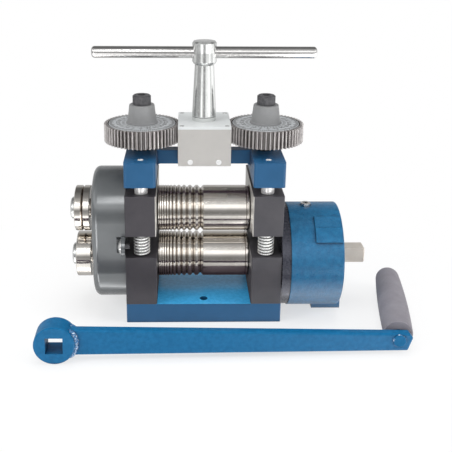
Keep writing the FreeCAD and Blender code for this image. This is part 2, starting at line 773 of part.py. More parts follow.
def make_spindle_bush():
    flange = cyl_z(housing_cap_top_z, housing_cap_top_z + bush_flange_height, bush_flange_radius, 0, 0)
    sleeve = cyl_z(housing_top_z, housing_cap_top_z, spindle_bush_radius, 0, 0)
    bore = cyl_z(housing_top_z - 1, housing_cap_top_z + bush_flange_height + 1,
                 spindle_radius + running_clearance, 0, 0)
    return flange.fuse(sleeve).removeSplitter().cut(bore)


# ---- Tee handle --------------------------------------------------------------
def make_pinion_spindle():
    """Wide pinion cut on its own spindle; both pressure-screw gears run on it."""
    bottom = housing_cavity_bottom_z + pinion_end_clearance
    top = housing_top_z - pinion_end_clearance
    pinion = standard_gear(pinion_teeth, gear_module, top - bottom, gear_backlash, 0.0)
    pinion = pinion.translated(V(0, 0, bottom))
    foot = cyl_z(yoke_top_z + pinion_end_clearance, bottom + 1, spindle_foot_radius, 0, 0)
    spindle_top = tee_bar_z - tee_bar_radius - 1.0
    spindle = cyl_z(top - 1, spindle_top, spindle_radius, 0, 0)
    return fuse_all([pinion, foot, spindle])


def make_tee_column():
    profile = [(column_base_radius, column_base_z), (column_base_radius, column_base_z + 1.0),
               (column_top_radius, column_top_z - 0.6), (column_top_radius - 0.6, column_top_z)]
    column = turned_z(profile, 0, 0)
    return column.cut(cyl_z(column_base_z - 1, column_top_z + 1, spindle_radius, 0, 0))


def make_tee_hub():
    profile = [(tee_hub_radius - tee_hub_chamfer, tee_hub_bottom_z),
               (tee_hub_radius, tee_hub_bottom_z + tee_hub_chamfer * 1.6),
               (tee_hub_radius - 0.5, (tee_hub_bottom_z + tee_hub_top_z) / 2.0),
               (tee_hub_radius, tee_hub_top_z - tee_hub_chamfer * 1.6),
               (tee_hub_radius - tee_hub_chamfer, tee_hub_top_z - 0.6),
               (tee_hub_radius * 0.55, tee_hub_top_z)]
    hub = turned_z(profile, 0, 0)
    bar_hole = cyl_x(-tee_hub_radius - 1, tee_hub_radius + 1, tee_bar_radius, 0, tee_bar_z)
    spindle_hole = cyl_z(tee_hub_bottom_z - 1, tee_bar_z, spindle_radius, 0, 0)
    return cut_all(hub, [bar_hole, spindle_hole])


def make_tee_bar():
    half = tee_bar_length / 2.0
    bar = cyl_x(-half, half, tee_bar_radius, 0, tee_bar_z)
    rims = [edge for edge in bar.Edges if isinstance(edge.Curve, Part.Circle)]
    return bar.makeFillet(tee_bar_rounding, rims)


# ---- Rolls -------------------------------------------------------------------
def barrel_profile():
    """(x, radius) points of the barrel, with the wire grooves on the left half."""
    points = [(-barrel_end_x, roll_radius - barrel_chamfer), (-barrel_end_x + barrel_chamfer, roll_radius)]
    grooves = []
    edge = first_groove_edge_x
    for width in wire_groove_widths:
        centre = edge - width / 2.0
        grooves.append([(centre - width / 2.0, roll_radius), (centre, roll_radius - width / 2.0),
                        (centre + width / 2.0, roll_radius)])
        edge = centre - width / 2.0 - groove_land - groove_land_growth * width
    for groove in reversed(grooves):
        points += groove
    relief = barrel_end_x - end_relief_inset
    floor_radius = roll_radius - end_relief_depth
    points += [(relief - end_relief_width, roll_radius), (relief - end_relief_width, floor_radius),
               (relief, floor_radius), (relief, roll_radius)]
    points += [(barrel_end_x - barrel_chamfer, roll_radius), (barrel_end_x, roll_radius - barrel_chamfer)]
    return points


def extension_roll_start():
    return cover_end_x - extension_gap


def make_roll(axis_z, right_end):
    """Barrel and all its journals, turned from one bar."""
    left_end = extension_roll_start() - extension_length + 1.0
    gear_end = cover_plate_x - roll_gear_inset - roll_gear_width
    profile = [(left_end, extension_seat_radius), (extension_roll_start(), extension_seat_radius),
               (extension_roll_start(), neck_radius), (gear_end, neck_radius),
               (gear_end, gear_seat_radius), (cover_plate_x - roll_gear_inset, gear_seat_radius),
               (cover_plate_x - roll_gear_inset, journal_radius), (-barrel_end_x, journal_radius)]
    profile += barrel_profile()
    profile.append((barrel_end_x, journal_radius))
    profile += right_end
    roll = turned_x(profile, 0, axis_z)
    return roll.cut(cyl_x(left_end - 1, left_end + end_bolt_length, end_bolt_shank_radius, 0, axis_z))


def make_upper_roll():
    return make_roll(upper_axis_z, [(chock_outer_x - 1.0, journal_radius)])


def carrier_start():
    return ring_gear_x - carrier_thickness - carrier_gap


def make_lower_roll():
    return make_roll(lower_axis_z, [(flange_end_x + sliding_clearance, journal_radius),
                                    (flange_end_x + sliding_clearance, carrier_seat_radius),
                                    (carrier_start() + carrier_thickness, carrier_seat_radius)])


def make_roll_gear(axis_z, facing_up):
    """Long-toothed gear; a tooth of one roll meets a gap of the other."""
    pitch_radius = roll_radius + closed_gap / 2.0
    tip_radius = pitch_radius + roll_gear_addendum
    root_radius = pitch_radius - roll_gear_addendum - roll_gear_root_gap
    tooth_step = 2.0 * math.pi / roll_gear_teeth
    phase = math.pi / 2.0 if facing_up else -math.pi / 2.0 + tooth_step / 2.0
    face = toothed_face(roll_gear_teeth, pitch_radius, tip_radius, root_radius,
                        roll_gear_pressure_angle, roll_gear_backlash, phase)
    gear = face.extrude(V(0, 0, roll_gear_width))
    gear.Placement = along_x(cover_plate_x - roll_gear_inset - roll_gear_width, 0, axis_z)
    return gear.cut(cyl_x(cover_end_x, cover_plate_x, gear_seat_radius, 0, axis_z))


def make_extension_roll(axis_z, grooved):
    x1 = extension_roll_start()
    x0 = x1 - extension_length
    profile = [(x0, roll_radius - barrel_chamfer), (x0 + barrel_chamfer, roll_radius)]
    if grooved:
        middle = (x0 + x1) / 2.0
        half = extension_groove_width / 2.0
        profile += [(middle - half, roll_radius), (middle, roll_radius - extension_groove_depth),
                    (middle + half, roll_radius)]
    profile += [(x1 - barrel_chamfer, roll_radius), (x1, roll_radius - barrel_chamfer)]
    roll = turned_x(profile, 0, axis_z)
    return roll.cut(cyl_x(x0 - 1, x1 + 1, extension_seat_radius, 0, axis_z))


def make_end_bolt(axis_z):
    """Low round head that clamps the extension roll on its seat."""
    x1 = extension_roll_start() - extension_length
    x0 = x1 - end_bolt_height
    shaft_end = x1 + 1.0
    profile = [(x0, end_bolt_radius - 1.8), (x0 + 1.4, end_bolt_radius), (x1, end_bolt_radius)]
    head = turned_x(profile, 0, axis_z)
    shank = cyl_x(x1 - 1, shaft_end + end_bolt_length - 1.0, end_bolt_shank_radius, 0, axis_z)
    socket = hexagon_x(end_bolt_socket_flats, x0 - 1, x0 + end_bolt_socket_depth, 0, axis_z)
    return head.fuse(shank).cut(socket).removeSplitter()


# ---- Roll gear cover ---------------------------------------------------------
def roll_shaft_holes(x0, x1, radius):
    """Round hole for the lower shaft and a slot for the upper one, which moves down."""
    lower = cyl_x(x0, x1, radius, 0, lower_axis_z)
    upper = cyl_x(x0, x1, radius, 0, upper_axis_z)
    lowered = cyl_x(x0, x1, radius, 0, upper_axis_z - travel)
    slot = box(x0, x1, -radius, radius, upper_axis_z - travel, upper_axis_z)
    return [lower, upper, lowered, slot]


def roll_obround(x0, x1, radius):
    """Prism round both rolls' axes, with straight sides between the two arcs."""
    low_front = V(x0, -radius, lower_axis_z)
    high_front = V(x0, -radius, upper_axis_z)
    low_rear = V(x0, radius, lower_axis_z)
    high_rear = V(x0, radius, upper_axis_z)
    top = Part.Arc(high_front, V(x0, 0, upper_axis_z + radius), high_rear).toShape()
    bottom = Part.Arc(low_rear, V(x0, 0, lower_axis_z - radius), low_front).toShape()
    sides = [Part.makeLine(low_front, high_front), top, Part.makeLine(high_rear, low_rear), bottom]
    return Part.Face(Part.Wire(sides)).extrude(V(x1 - x0, 0, 0))


def cover_ears(x0, x1, radius):
    return [cyl_x(x0, x1, radius, side * cover_screw_y, cover_screw_z) for side in (-1, 1)]


def make_cover_plate():
    plate = roll_obround(cover_plate_x, -chock_outer_x, cover_radius)
    plate = fuse_all([plate] + cover_ears(cover_plate_x, -chock_outer_x, cover_ear_radius))
    plate = cut_all(plate, roll_shaft_holes(cover_plate_x - 1, -chock_outer_x + 1,
                                            journal_radius + cover_hole_clearance))
    for y in (-plate_screw_y, plate_screw_y):
        hole = cyl_x(cover_plate_x - 1, -chock_outer_x + 1, plate_screw_radius, y, plate_screw_z)
        recess = cyl_x(cover_plate_x - 1, cover_plate_x + plate_screw_head_height,
                       plate_screw_head_radius, y, plate_screw_z)
        plate = cut_all(plate, [hole, recess])
    return cut_all(plate, cover_ears(cover_plate_x - 1, -chock_outer_x + 1, cover_screw_radius))


def make_plate_screws():
    """Flush screws that hold the cover's back plate on the lower block."""
    screws = []
    for y in (-plate_screw_y, plate_screw_y):
        head_end = cover_plate_x + plate_screw_head_height
        head = cyl_x(cover_plate_x, head_end, plate_screw_head_radius, y, plate_screw_z)
        shank = cyl_x(head_end, head_end + plate_screw_length, plate_screw_radius, y, plate_screw_z)
        socket = hexagon_x(plate_screw_radius * 1.6, cover_plate_x - 1, cover_plate_x + 1.5, y, plate_screw_z)
        screws.append(head.fuse(shank).cut(socket).removeSplitter())
    return group(screws)


def make_gear_cover():
    outer = roll_obround(cover_end_x, cover_plate_x, cover_radius)
    rim = [edge for edge in outer.Edges if edge.BoundBox.XMax < cover_end_x + 0.1]
    outer = outer.makeFillet(cover_corner_radius, rim)
    seat = cover_plate_x - cover_ear_thickness
    outer = fuse_all([outer] + cover_ears(seat, cover_plate_x, cover_ear_radius))
    cavity = roll_obround(cover_end_x + cover_wall, cover_plate_x + 1, cover_radius - cover_wall)
    inner_rim = [edge for edge in cavity.Edges if edge.BoundBox.XMax < cover_end_x + cover_wall + 0.1]
    cavity = cavity.makeFillet(cover_corner_radius - cover_wall, inner_rim)
    pocket_end = seat - cover_pocket_depth
    cavity = cut_all(cavity, cover_ears(pocket_end - cover_wall, cover_plate_x + 2,
                                        cover_pocket_radius + cover_wall))
    cover = outer.cut(cavity)
    cover = cut_all(cover, roll_shaft_holes(cover_end_x - 1, cover_end_x + cover_wall + 1,
                                            neck_radius + cover_hole_clearance))
    cover = cut_all(cover, cover_ears(pocket_end, seat, cover_pocket_radius))
    return cut_all(cover, cover_ears(seat - 1, cover_plate_x + 1, cover_screw_radius + hole_clearance))


def make_cover_screws():
    """Button-head screws at the cover's two sides; their shanks stand out behind the back plate."""
    screws = []
    for y in (-cover_screw_y, cover_screw_y):
        seat = cover_plate_x - cover_ear_thickness
        top = seat - cover_screw_head_height
        profile = [(top, cover_screw_head_radius * 0.45),
                   (top + cover_screw_head_height * 0.24, cover_screw_head_radius * 0.78),
                   (top + cover_screw_head_height * 0.6, cover_screw_head_radius * 0.96),
                   (seat, cover_screw_head_radius)]
        head = turned_x(profile, y, cover_screw_z)
        shank = cyl_x(seat - 1, -chock_outer_x + cover_screw_tail, cover_screw_radius, y, cover_screw_z)
        socket = hexagon_x(cover_screw_radius * 1.6, top - 1, top + 2.4, y, cover_screw_z)
        screws.append(head.fuse(shank).cut(socket).removeSplitter())
    return group(screws)


# ---- Gearbox -----------------------------------------------------------------
def flange_screw_places():
    places = []
    for y in (-flange_screw_y, flange_screw_y):
        for z in (-flange_screw_z_offset, 0):
            places.append((y, lower_axis_z + z))
    return places


def gearbox_screw_places():
    places = []
    angle = math.radians(gearbox_screw_angle)
    for y_side in (-1, 1):
        for z_side in (-1, 1):
            places.append((y_side * gearbox_screw_circle * math.cos(angle),
                           lower_axis_z + z_side * gearbox_screw_circle * math.sin(angle)))
    return places


def make_gearbox_flange():
    flange = cyl_x(chock_outer_x, flange_end_x, gearbox_flange_radius, 0, lower_axis_z)
    flange = flange.cut(cyl_x(chock_outer_x - 1, flange_end_x + 1, journal_radius + hole_clearance,
                              0, lower_axis_z))
    for y, z in flange_screw_places():
        hole = cyl_x(chock_outer_x - 1, flange_end_x + 1, flange_screw_radius, y, z)
        recess = cyl_x(flange_end_x - flange_screw_head_height, flange_end_x + 1,
                       flange_screw_head_radius, y, z)
        flange = cut_all(flange, [hole, recess])
    for y, z in gearbox_screw_places():
        reach = gearbox_screw_head_radius + 0.01
        hole = cyl_x(chock_outer_x - 1, flange_end_x + 1, gearbox_screw_radius, y, z)
        recess = cyl_x(chock_outer_x - 1, chock_outer_x + gearbox_screw_head_height, reach, y, z)
        flange = cut_all(flange, [hole, recess])
    return flange


def make_flange_screws():
    screws = []
    for y, z in flange_screw_places():
        seat = flange_end_x - flange_screw_head_height
        head = cyl_x(seat, flange_end_x, flange_screw_head_radius, y, z)
        shank = cyl_x(chock_outer_x - flange_screw_bite, seat, flange_screw_radius, y, z)
        socket = hexagon_x(flange_screw_radius * 1.6, flange_end_x - 3, flange_end_x + 1, y, z)
        screws.append(head.fuse(shank).cut(socket).removeSplitter())
    return group(screws)


def make_gearbox_screws():
    screws = []
    for y, z in gearbox_screw_places():
        seat = chock_outer_x + gearbox_screw_head_height
        head = cyl_x(chock_outer_x + 0.4, seat, gearbox_screw_head_radius, y, z)
        shank = cyl_x(seat, seat + gearbox_screw_length, gearbox_screw_radius, y, z)
        socket = hexagon_x(gearbox_screw_radius * 1.6, chock_outer_x - 1, chock_outer_x + 2.6, y, z)
        screws.append(head.fuse(shank).cut(socket).removeSplitter())
    return group(screws)


def pad_sector(radius, first, last, x0, x1):
    """Wedge about the gearbox axis between two angles from straight up, towards the front."""
    points = [V(x0, 0, lower_axis_z)]
    for angle in (first, (first + last) / 2.0, last):
        turn = math.radians(angle)
        points.append(V(x0, -radius * math.sin(turn), lower_axis_z + radius * math.cos(turn)))
    sides = [Part.makeLine(points[0], points[1]), Part.Arc(points[1], points[2], points[3]).toShape(),
             Part.makeLine(points[3], points[0])]
    return Part.Face(Part.Wire(sides)).extrude(V(x1 - x0, 0, 0))


def make_gearbox_housing():
    drum = cyl_x(flange_end_x, gearbox_end_x, gearbox_radius, 0, lower_axis_z)
    rim = [edge for edge in drum.Edges
           if isinstance(edge.Curve, Part.Circle) and edge.CenterOfMass.x > gearbox_end_x - 0.1]
    drum = drum.makeFillet(gearbox_edge_radius, rim)
    pad_end = gearbox_end_x - gearbox_edge_radius
    upper_pad = pad_sector(gearbox_radius + pad_height, pad_first_angle, pad_step_angle,
                           pad_start_x, pad_end)
    lower_pad = pad_sector(gearbox_radius + pad_step_height, pad_step_angle, pad_last_angle,
                           pad_start_x, pad_end)
    foot = box(foot_start_x, gearbox_end_x + foot_overhang, -foot_half_width, foot_half_width, 0, foot_top_z)
    drum = fuse_all([drum, upper_pad, lower_pad, foot])
    bore_end = ring_gear_x + ring_gear_width
    wall_start = gearbox_end_x - gearbox_end_wall
    tools = [cyl_x(flange_end_x - 1, bore_end, gearbox_bore_radius, 0, lower_axis_z),
             cyl_x(bore_end - 1, wall_start, gearbox_cavity_radius, 0, lower_axis_z),
             cyl_x(wall_start - 1, gearbox_end_x + 1,
                   drive_journal_radius + running_clearance + drive_bush_wall, 0, lower_axis_z),
             cyl_z(lower_axis_z, lower_axis_z + gearbox_radius + 5, oil_plug_shank_radius, oil_plug_x, 0)]
    for y, z in gearbox_screw_places():
        tools.append(cyl_x(flange_end_x - 1,
                           chock_outer_x + gearbox_screw_head_height + gearbox_screw_length,
                           gearbox_screw_radius, y, z))
    drum = cut_all(drum, tools)
    spot_z = lower_axis_z + gearbox_radius - 1.0
    return drum.cut(cyl_z(spot_z, spot_z + 5, oil_plug_radius + hole_clearance, oil_plug_x, 0))


def make_oil_plug():
    seat = lower_axis_z + gearbox_radius - 1.0
    top = seat + oil_plug_head_height
    profile = [(oil_plug_radius, seat), (oil_plug_radius, top - 0.6), (oil_plug_radius - 0.6, top)]
    head = turned_z(profile, oil_plug_x, 0)
    shank = cyl_z(lower_axis_z + gearbox_bore_radius, seat, oil_plug_shank_radius, oil_plug_x, 0)
    socket = hexagon_z(oil_plug_socket_flats, top - oil_plug_socket_depth, top + 1, oil_plug_x, 0)
    return head.fuse(shank).cut(socket).removeSplitter()


def ring_teeth():
    return sun_teeth + 2 * planet_teeth


def planet_angles():
    return [math.pi / 2.0 + 2.0 * math.pi * i / planet_count for i in range(planet_count)]


def planet_phase(angle):
    """A planet's gap meets the sun's tooth; the sun has a tooth at angle 0."""
    sun_part = angle * sun_teeth / (2.0 * math.pi)
    planet_part = 0.5 - sun_part
    return angle + math.pi - planet_part * 2.0 * math.pi / planet_teeth


def ring_phase():
    """The ring's own tooth angle, set by the first planet."""
    angle = planet_angles()[0]
    planet_part = (angle - planet_phase(angle)) * planet_teeth / (2.0 * math.pi)
    return angle - (planet_part - 0.5) * 2.0 * math.pi / ring_teeth()


def make_ring_gear():
    teeth = ring_teeth()
    pitch_radius = planet_module * teeth / 2.0
    space_phase = ring_phase() + math.pi / teeth
    space = toothed_face(teeth, pitch_radius, pitch_radius + 1.25 * planet_module,
                         pitch_radius - planet_module, pressure_angle, -planet_backlash, space_phase)
    cutter = space.extrude(V(0, 0, ring_gear_width + 2))
    cutter.Placement = along_x(ring_gear_x - 1, 0, lower_axis_z)
    ring = cyl_x(ring_gear_x, ring_gear_x + ring_gear_width, gearbox_bore_radius, 0, lower_axis_z)
    return ring.cut(cutter)


def planet_centre(angle):
    orbit = planet_module * (sun_teeth + planet_teeth) / 2.0
    return orbit * math.cos(angle), lower_axis_z + orbit * math.sin(angle)


def make_planet(angle):
    gear = standard_gear(planet_teeth, planet_module, planet_width, planet_backlash, planet_phase(angle))
    y, z = planet_centre(angle)
    x0 = ring_gear_x + (ring_gear_width - planet_width) / 2.0
    gear.Placement = along_x(x0, y, z)
    return gear.cut(cyl_x(x0 - 1, x0 + planet_width + 1, planet_bore_radius + running_clearance, y, z))


def make_planet_carrier():
    x0 = carrier_start()
    x1 = x0 + carrier_thickness
    carrier = cyl_x(x0, x1, carrier_radius, 0, lower_axis_z)
    carrier = carrier.cut(cyl_x(x0 - 1, x1 + 1, carrier_seat_radius, 0, lower_axis_z))
    pins = []
    for angle in planet_angles():
        y, z = planet_centre(angle)
        pins.append(cyl_x(x1 - 1, ring_gear_x + ring_gear_width, planet_bore_radius, y, z))
    return fuse_all([carrier] + pins)


def make_drive_shaft():
    """Sun pinion, journal and the square that takes the crank, in one piece."""
    x0 = ring_gear_x + (ring_gear_width - planet_width) / 2.0
    sun = standard_gear(sun_teeth, planet_module, planet_width, planet_backlash, 0.0)
    sun.Placement = along_x(x0, 0, lower_axis_z)
    neck_end = drive_journal_start_x - sliding_clearance
    neck = cyl_x(x0 + planet_width - 1, neck_end, drive_journal_radius - 1.0, 0, lower_axis_z)
    journal = cyl_x(neck_end - 1, gearbox_end_x + 0.6, drive_journal_radius, 0, lower_axis_z)
    half = drive_square / 2.0
    end = gearbox_end_x + drive_square_length
    square = box(gearbox_end_x, end, -half, half, lower_axis_z - half, lower_axis_z + half)
    far = [edge for edge in square.Edges if edge.CenterOfMass.x > end - 0.1]
    square = square.makeChamfer(drive_square_chamfer, far)
    return fuse_all([sun, neck, journal, square])


def make_drive_bush():
    bush = cyl_x(drive_journal_start_x, gearbox_end_x,
                 drive_journal_radius + running_clearance + drive_bush_wall, 0, lower_axis_z)
    return bush.cut(cyl_x(drive_journal_start_x - 1, gearbox_end_x + 1,
                          drive_journal_radius + running_clearance, 0, lower_axis_z))


# ---- Crank -------------------------------------------------------------------
def crank_placement():
    """From the crank's own frame (hub axis +Y, arm +X) to where it lies."""
    lean = FreeCAD.Rotation(V(0, 1, 0), crank_lean)
    yaw = FreeCAD.Rotation(V(0, 0, 1), crank_yaw)
    return FreeCAD.Placement(V(crank_x, crank_y, crank_hub_radius), yaw.multiply(lean))


def placed(shape):
    moved = shape.copy()
    moved.Placement = crank_placement().multiply(moved.Placement)
    return moved


def make_crank_hub():
    half = crank_hub_length / 2.0
    hub = cyl_y(-half, half, crank_hub_radius, 0, 0)
    rims = [edge for edge in hub.Edges if isinstance(edge.Curve, Part.Circle)]
    hub = hub.makeChamfer(crank_hub_chamfer, rims)
    side = drive_square / 2.0 + socket_clearance
    return placed(hub.cut(box(-side, side, -half - 1, half + 1, -side, side)))


def make_crank_arm():
    """Flat bar that narrows from the hub to the grip."""
    near = arm_height_at_hub / 2.0
    far = arm_height_at_end / 2.0
    thick = arm_thickness / 2.0
    outline = [V(0, -thick, -near), V(arm_length - arm_end_slope, -thick, -far),
               V(arm_length, -thick, far * 0.45), V(arm_length - arm_end_slope, -thick, far),
               V(0, -thick, near), V(0, -thick, -near)]
    arm = Part.Face(Part.makePolygon(outline)).extrude(V(0, arm_thickness, 0))
    corners = edges_along(arm, V(0, 1, 0), lambda p: p.x > arm_length / 2.0)
    arm = arm.makeFillet(arm_end_radius, corners)
    long_edges = [edge for edge in arm.Edges if edge.Length > arm_length * 0.8]
    arm = arm.makeFillet(arm_edge_radius, long_edges)
    hub = cyl_y(-crank_hub_length, crank_hub_length, crank_hub_radius, 0, 0)
    hole = grip_axis_cylinder(-arm_thickness, arm_thickness * 1.5, grip_spindle_radius)
    return placed(cut_all(arm, [hub, hole]))


def grip_direction():
    turn = math.radians(grip_splay)
    return V(math.sin(turn), math.cos(turn), 0)


def grip_axis_cylinder(start, end, radius):
    """Cylinder on the grip's axis; lengths count from the arm's middle."""
    direction = grip_direction()
    origin = V(grip_offset, 0, grip_rise)
    return Part.makeCylinder(radius, end - start, origin + direction * start, direction)


def make_grip_spindle():
    """Riveted at the front of the arm, plain where the grip turns on it."""
    front = -arm_thickness / 2.0 - grip_spindle_head_radius * math.tan(math.radians(grip_splay))
    rod = grip_axis_cylinder(front, grip_start_y + grip_spindle_free_length, grip_spindle_radius)
    head = grip_axis_cylinder(front - grip_spindle_head_height, front, grip_spindle_head_radius)
    rims = [edge for edge in head.Edges if isinstance(edge.Curve, Part.Circle)]
    head = head.makeFillet(grip_spindle_head_height * 0.45, rims)
    return placed(rod.fuse(head).removeSplitter())


def make_grip():
    """Turned handle, a little thicker in the middle, with a rounded end."""
    start = grip_start_y + 1.6
    end = start + grip_length
    nose = end - grip_nose_radius
    outline = [V(0, start, 0), V(grip_waist_radius - 1.0, start, 0), V(grip_waist_radius, start + 1.0, 0)]
    bulge = Part.Arc(outline[2], V(grip_radius, start + grip_length * 0.4, 0),
                     V(grip_waist_radius - 1.4, nose, 0)).toShape()
    tip_side = V(grip_waist_radius - 1.4, nose, 0)
    tip_middle = V((grip_waist_radius - 1.4) * 0.78, nose + grip_nose_radius * 0.68, 0)
    tip = V(grip_waist_radius * 0.35, end, 0)
    rounding = Part.Arc(tip_side, tip_middle, tip).toShape()
    edges = [Part.makeLine(outline[0], outline[1]), Part.makeLine(outline[1], outline[2]), bulge, rounding,
             Part.makeLine(tip, V(0, end, 0)), Part.makeLine(V(0, end, 0), outline[0])]
    grip = Part.Face(Part.Wire(edges)).revolve(V(0, 0, 0), V(0, 1, 0), 360.0)
    bore = cyl_y(start - 1, grip_start_y + grip_spindle_free_length + 1.0,
                 grip_spindle_radius + grip_bore_clearance, 0, 0)
    grip = grip.cut(bore)
    turn = FreeCAD.Rotation(V(0, 0, 1), -grip_splay)
    grip.Placement = FreeCAD.Placement(V(grip_offset, 0, grip_rise), turn)
    return placed(grip)


# ---- All nodes ---------------------------------------------------------------
def build_nodes():
    nodes = {
        "base": make_base(),
        "base_screws": make_base_screws(),
        "left_lower_chock": make_lower_chock(-1),
        "right_lower_chock": make_lower_chock(1),
        "lower_roll_bushes": make_bushes(lower_axis_z, 0.0),
        "guide_pillars": make_guide_pillars(),
        "lift_springs": make_lift_springs(),
        "yoke": make_yoke(),
        "yoke_screws": make_yoke_screws(),
        "pinion_housing": make_pinion_housing(),
        "housing_cap": make_housing_cap(),
        "housing_screws": make_housing_screws(),
        "spindle_bush": make_spindle_bush(),
        "pinion_spindle": make_pinion_spindle(),
        "tee_column": make_tee_column(),
        "tee_hub": make_tee_hub(),
        "tee_bar": make_tee_bar(),
        "left_upper_chock": make_upper_chock(-1),
        "right_upper_chock": make_upper_chock(1),
        "upper_roll_bushes": make_bushes(upper_axis_z, sliding_clearance),
        "cover_back_plate": make_cover_plate(),
        "back_plate_screws": make_plate_screws(),
        "roll_gear_cover": make_gear_cover(),
        "cover_screws": make_cover_screws(),
        "upper_roll": make_upper_roll(),
        "upper_roll_gear": make_roll_gear(upper_axis_z, False),
        "upper_extension_roll": make_extension_roll(upper_axis_z, True),
        "upper_end_bolt": make_end_bolt(upper_axis_z),
        "lower_roll": make_lower_roll(),
        "lower_roll_gear": make_roll_gear(lower_axis_z, True),
        "lower_extension_roll": make_extension_roll(lower_axis_z, False),
        "lower_end_bolt": make_end_bolt(lower_axis_z),
        "planet_carrier": make_planet_carrier(),
        "gearbox_flange": make_gearbox_flange(),
        "flange_screws": make_flange_screws(),
        "gearbox_housing": make_gearbox_housing(),
        "gearbox_screws": make_gearbox_screws(),
        "oil_plug": make_oil_plug(),
        "ring_gear": make_ring_gear(),
        "drive_shaft": make_drive_shaft(),
        "drive_bush": make_drive_bush(),
        "crank_hub": make_crank_hub(),
        "crank_arm": make_crank_arm(),
        "grip_spindle": make_grip_spindle(),
        "crank_grip": make_grip(),
    }
    for name, side in (("left", -1), ("right", 1)):
        x = side * screw_x
        nodes[name + "_screw_spindle"] = make_screw_spindle(x)
        nodes[name + "_screw_gear"] = make_screw_gear(x, side)
        nodes[name + "_dial"] = make_dial(x)
        nodes[name + "_cone_boss"] = make_cone_boss(x)
        nodes[name + "_cap_screw"] = make_cap_screw(x)
    for i, angle in enumerate(planet_angles()):
        nodes["planet_gear_%d" % (i + 1)] = make_planet(angle)
    return nodes


os.makedirs("parts", exist_ok=True)
for node_name, node_shape in build_nodes().items():
    node_shape.exportStep("parts/%s.step" % node_name)
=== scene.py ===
import math

import bpy
from mathutils import Euler, Matrix, Vector

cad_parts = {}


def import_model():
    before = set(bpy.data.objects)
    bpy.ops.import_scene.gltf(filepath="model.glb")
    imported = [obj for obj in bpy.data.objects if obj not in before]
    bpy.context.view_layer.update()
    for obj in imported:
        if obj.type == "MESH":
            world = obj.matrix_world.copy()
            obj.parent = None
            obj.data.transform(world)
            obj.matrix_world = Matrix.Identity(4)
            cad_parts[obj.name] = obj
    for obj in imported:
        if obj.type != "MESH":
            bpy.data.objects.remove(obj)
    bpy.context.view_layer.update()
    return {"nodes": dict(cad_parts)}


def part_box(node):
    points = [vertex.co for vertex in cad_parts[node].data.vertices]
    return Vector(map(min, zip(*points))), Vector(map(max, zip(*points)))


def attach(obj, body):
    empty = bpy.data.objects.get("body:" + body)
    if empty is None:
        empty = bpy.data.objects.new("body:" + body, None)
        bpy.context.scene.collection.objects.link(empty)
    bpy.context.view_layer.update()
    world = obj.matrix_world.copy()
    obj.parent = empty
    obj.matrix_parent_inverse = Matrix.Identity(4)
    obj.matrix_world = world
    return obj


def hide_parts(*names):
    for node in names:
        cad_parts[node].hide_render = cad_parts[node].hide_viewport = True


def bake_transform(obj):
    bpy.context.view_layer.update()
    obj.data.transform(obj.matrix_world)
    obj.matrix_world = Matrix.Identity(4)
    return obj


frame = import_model()
nodes = frame["nodes"]
MM = 0.001
both_sides = (("left", -1), ("right", 1))


def box_centre(name):
    low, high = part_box(name)
    return (low + high) / 2.0


# ---- Places read from the frame ----------------------------------------------
screw_x = box_centre("right_cap_screw").x
cap_head_bottom_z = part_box("right_cone_boss")[1].z
cap_head_top_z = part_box("right_cap_screw")[1].z
springs_low, springs_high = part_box("lift_springs")
spring_outer_radius = springs_high.x - screw_x
pillar_y = -springs_low.y - spring_outer_radius
upper_chock_inner_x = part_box("right_upper_chock")[0].x
yoke_top_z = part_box("yoke")[1].z
housing_front_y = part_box("pinion_housing")[1].y
cover_screw_head_radius = 8.6 * MM
cover_screw_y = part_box("cover_screws")[1].y - cover_screw_head_radius
cover_screw_z = box_centre("cover_screws").z
dial_face_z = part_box("right_dial")[1].z
hub_centre = box_centre("crank_hub")


# ---- Node helpers ------------------------------------------------------------
def new_material(name):
    mat = bpy.data.materials.new(name)
    mat.use_nodes = True
    mat.node_tree.nodes.clear()
    out = mat.node_tree.nodes.new("ShaderNodeOutputMaterial")
    bsdf = mat.node_tree.nodes.new("ShaderNodeBsdfPrincipled")
    mat.node_tree.links.new(bsdf.outputs["BSDF"], out.inputs["Surface"])
    return mat, mat.node_tree, bsdf


def noise(tree, scale, detail=3.0, stretch=(1, 1, 1), roughness=0.55):
    """Noise in the object's own space; a large stretch makes it fine along that axis."""
    where = tree.nodes.new("ShaderNodeTexCoord")
    mapping = tree.nodes.new("ShaderNodeMapping")
    mapping.inputs["Scale"].default_value = stretch
    texture = tree.nodes.new("ShaderNodeTexNoise")
    texture.inputs["Scale"].default_value = scale
    texture.inputs["Detail"].default_value = detail
    texture.inputs["Roughness"].default_value = roughness
    tree.links.new(where.outputs["Object"], mapping.inputs["Vector"])
    tree.links.new(mapping.outputs["Vector"], texture.inputs["Vector"])
    return texture.outputs["Fac"]


def remap(tree, value, low, high, to_low, to_high):
    node = tree.nodes.new("ShaderNodeMapRange")
    node.inputs["From Min"].default_value = low
    node.inputs["From Max"].default_value = high
    node.inputs["To Min"].default_value = to_low
    node.inputs["To Max"].default_value = to_high
    tree.links.new(value, node.inputs["Value"])
    return node.outputs["Result"]


def mix_colours(tree, factor, first, second, blend="MIX"):
    node = tree.nodes.new("ShaderNodeMix")
    node.data_type = "RGBA"
    node.blend_type = blend
    if isinstance(factor, float):
        node.inputs["Factor"].default_value = factor
    else:
        tree.links.new(factor, node.inputs["Factor"])
    for value, socket in ((first, node.inputs["A"]), (second, node.inputs["B"])):
        if isinstance(value, tuple):
            socket.default_value = value + (1.0,)
        else:
            tree.links.new(value, socket)
    return node.outputs["Result"]


def occlusion(tree, distance):
    node = tree.nodes.new("ShaderNodeAmbientOcclusion")
    node.samples = 6
    node.inputs["Distance"].default_value = distance
    return node.outputs["AO"]


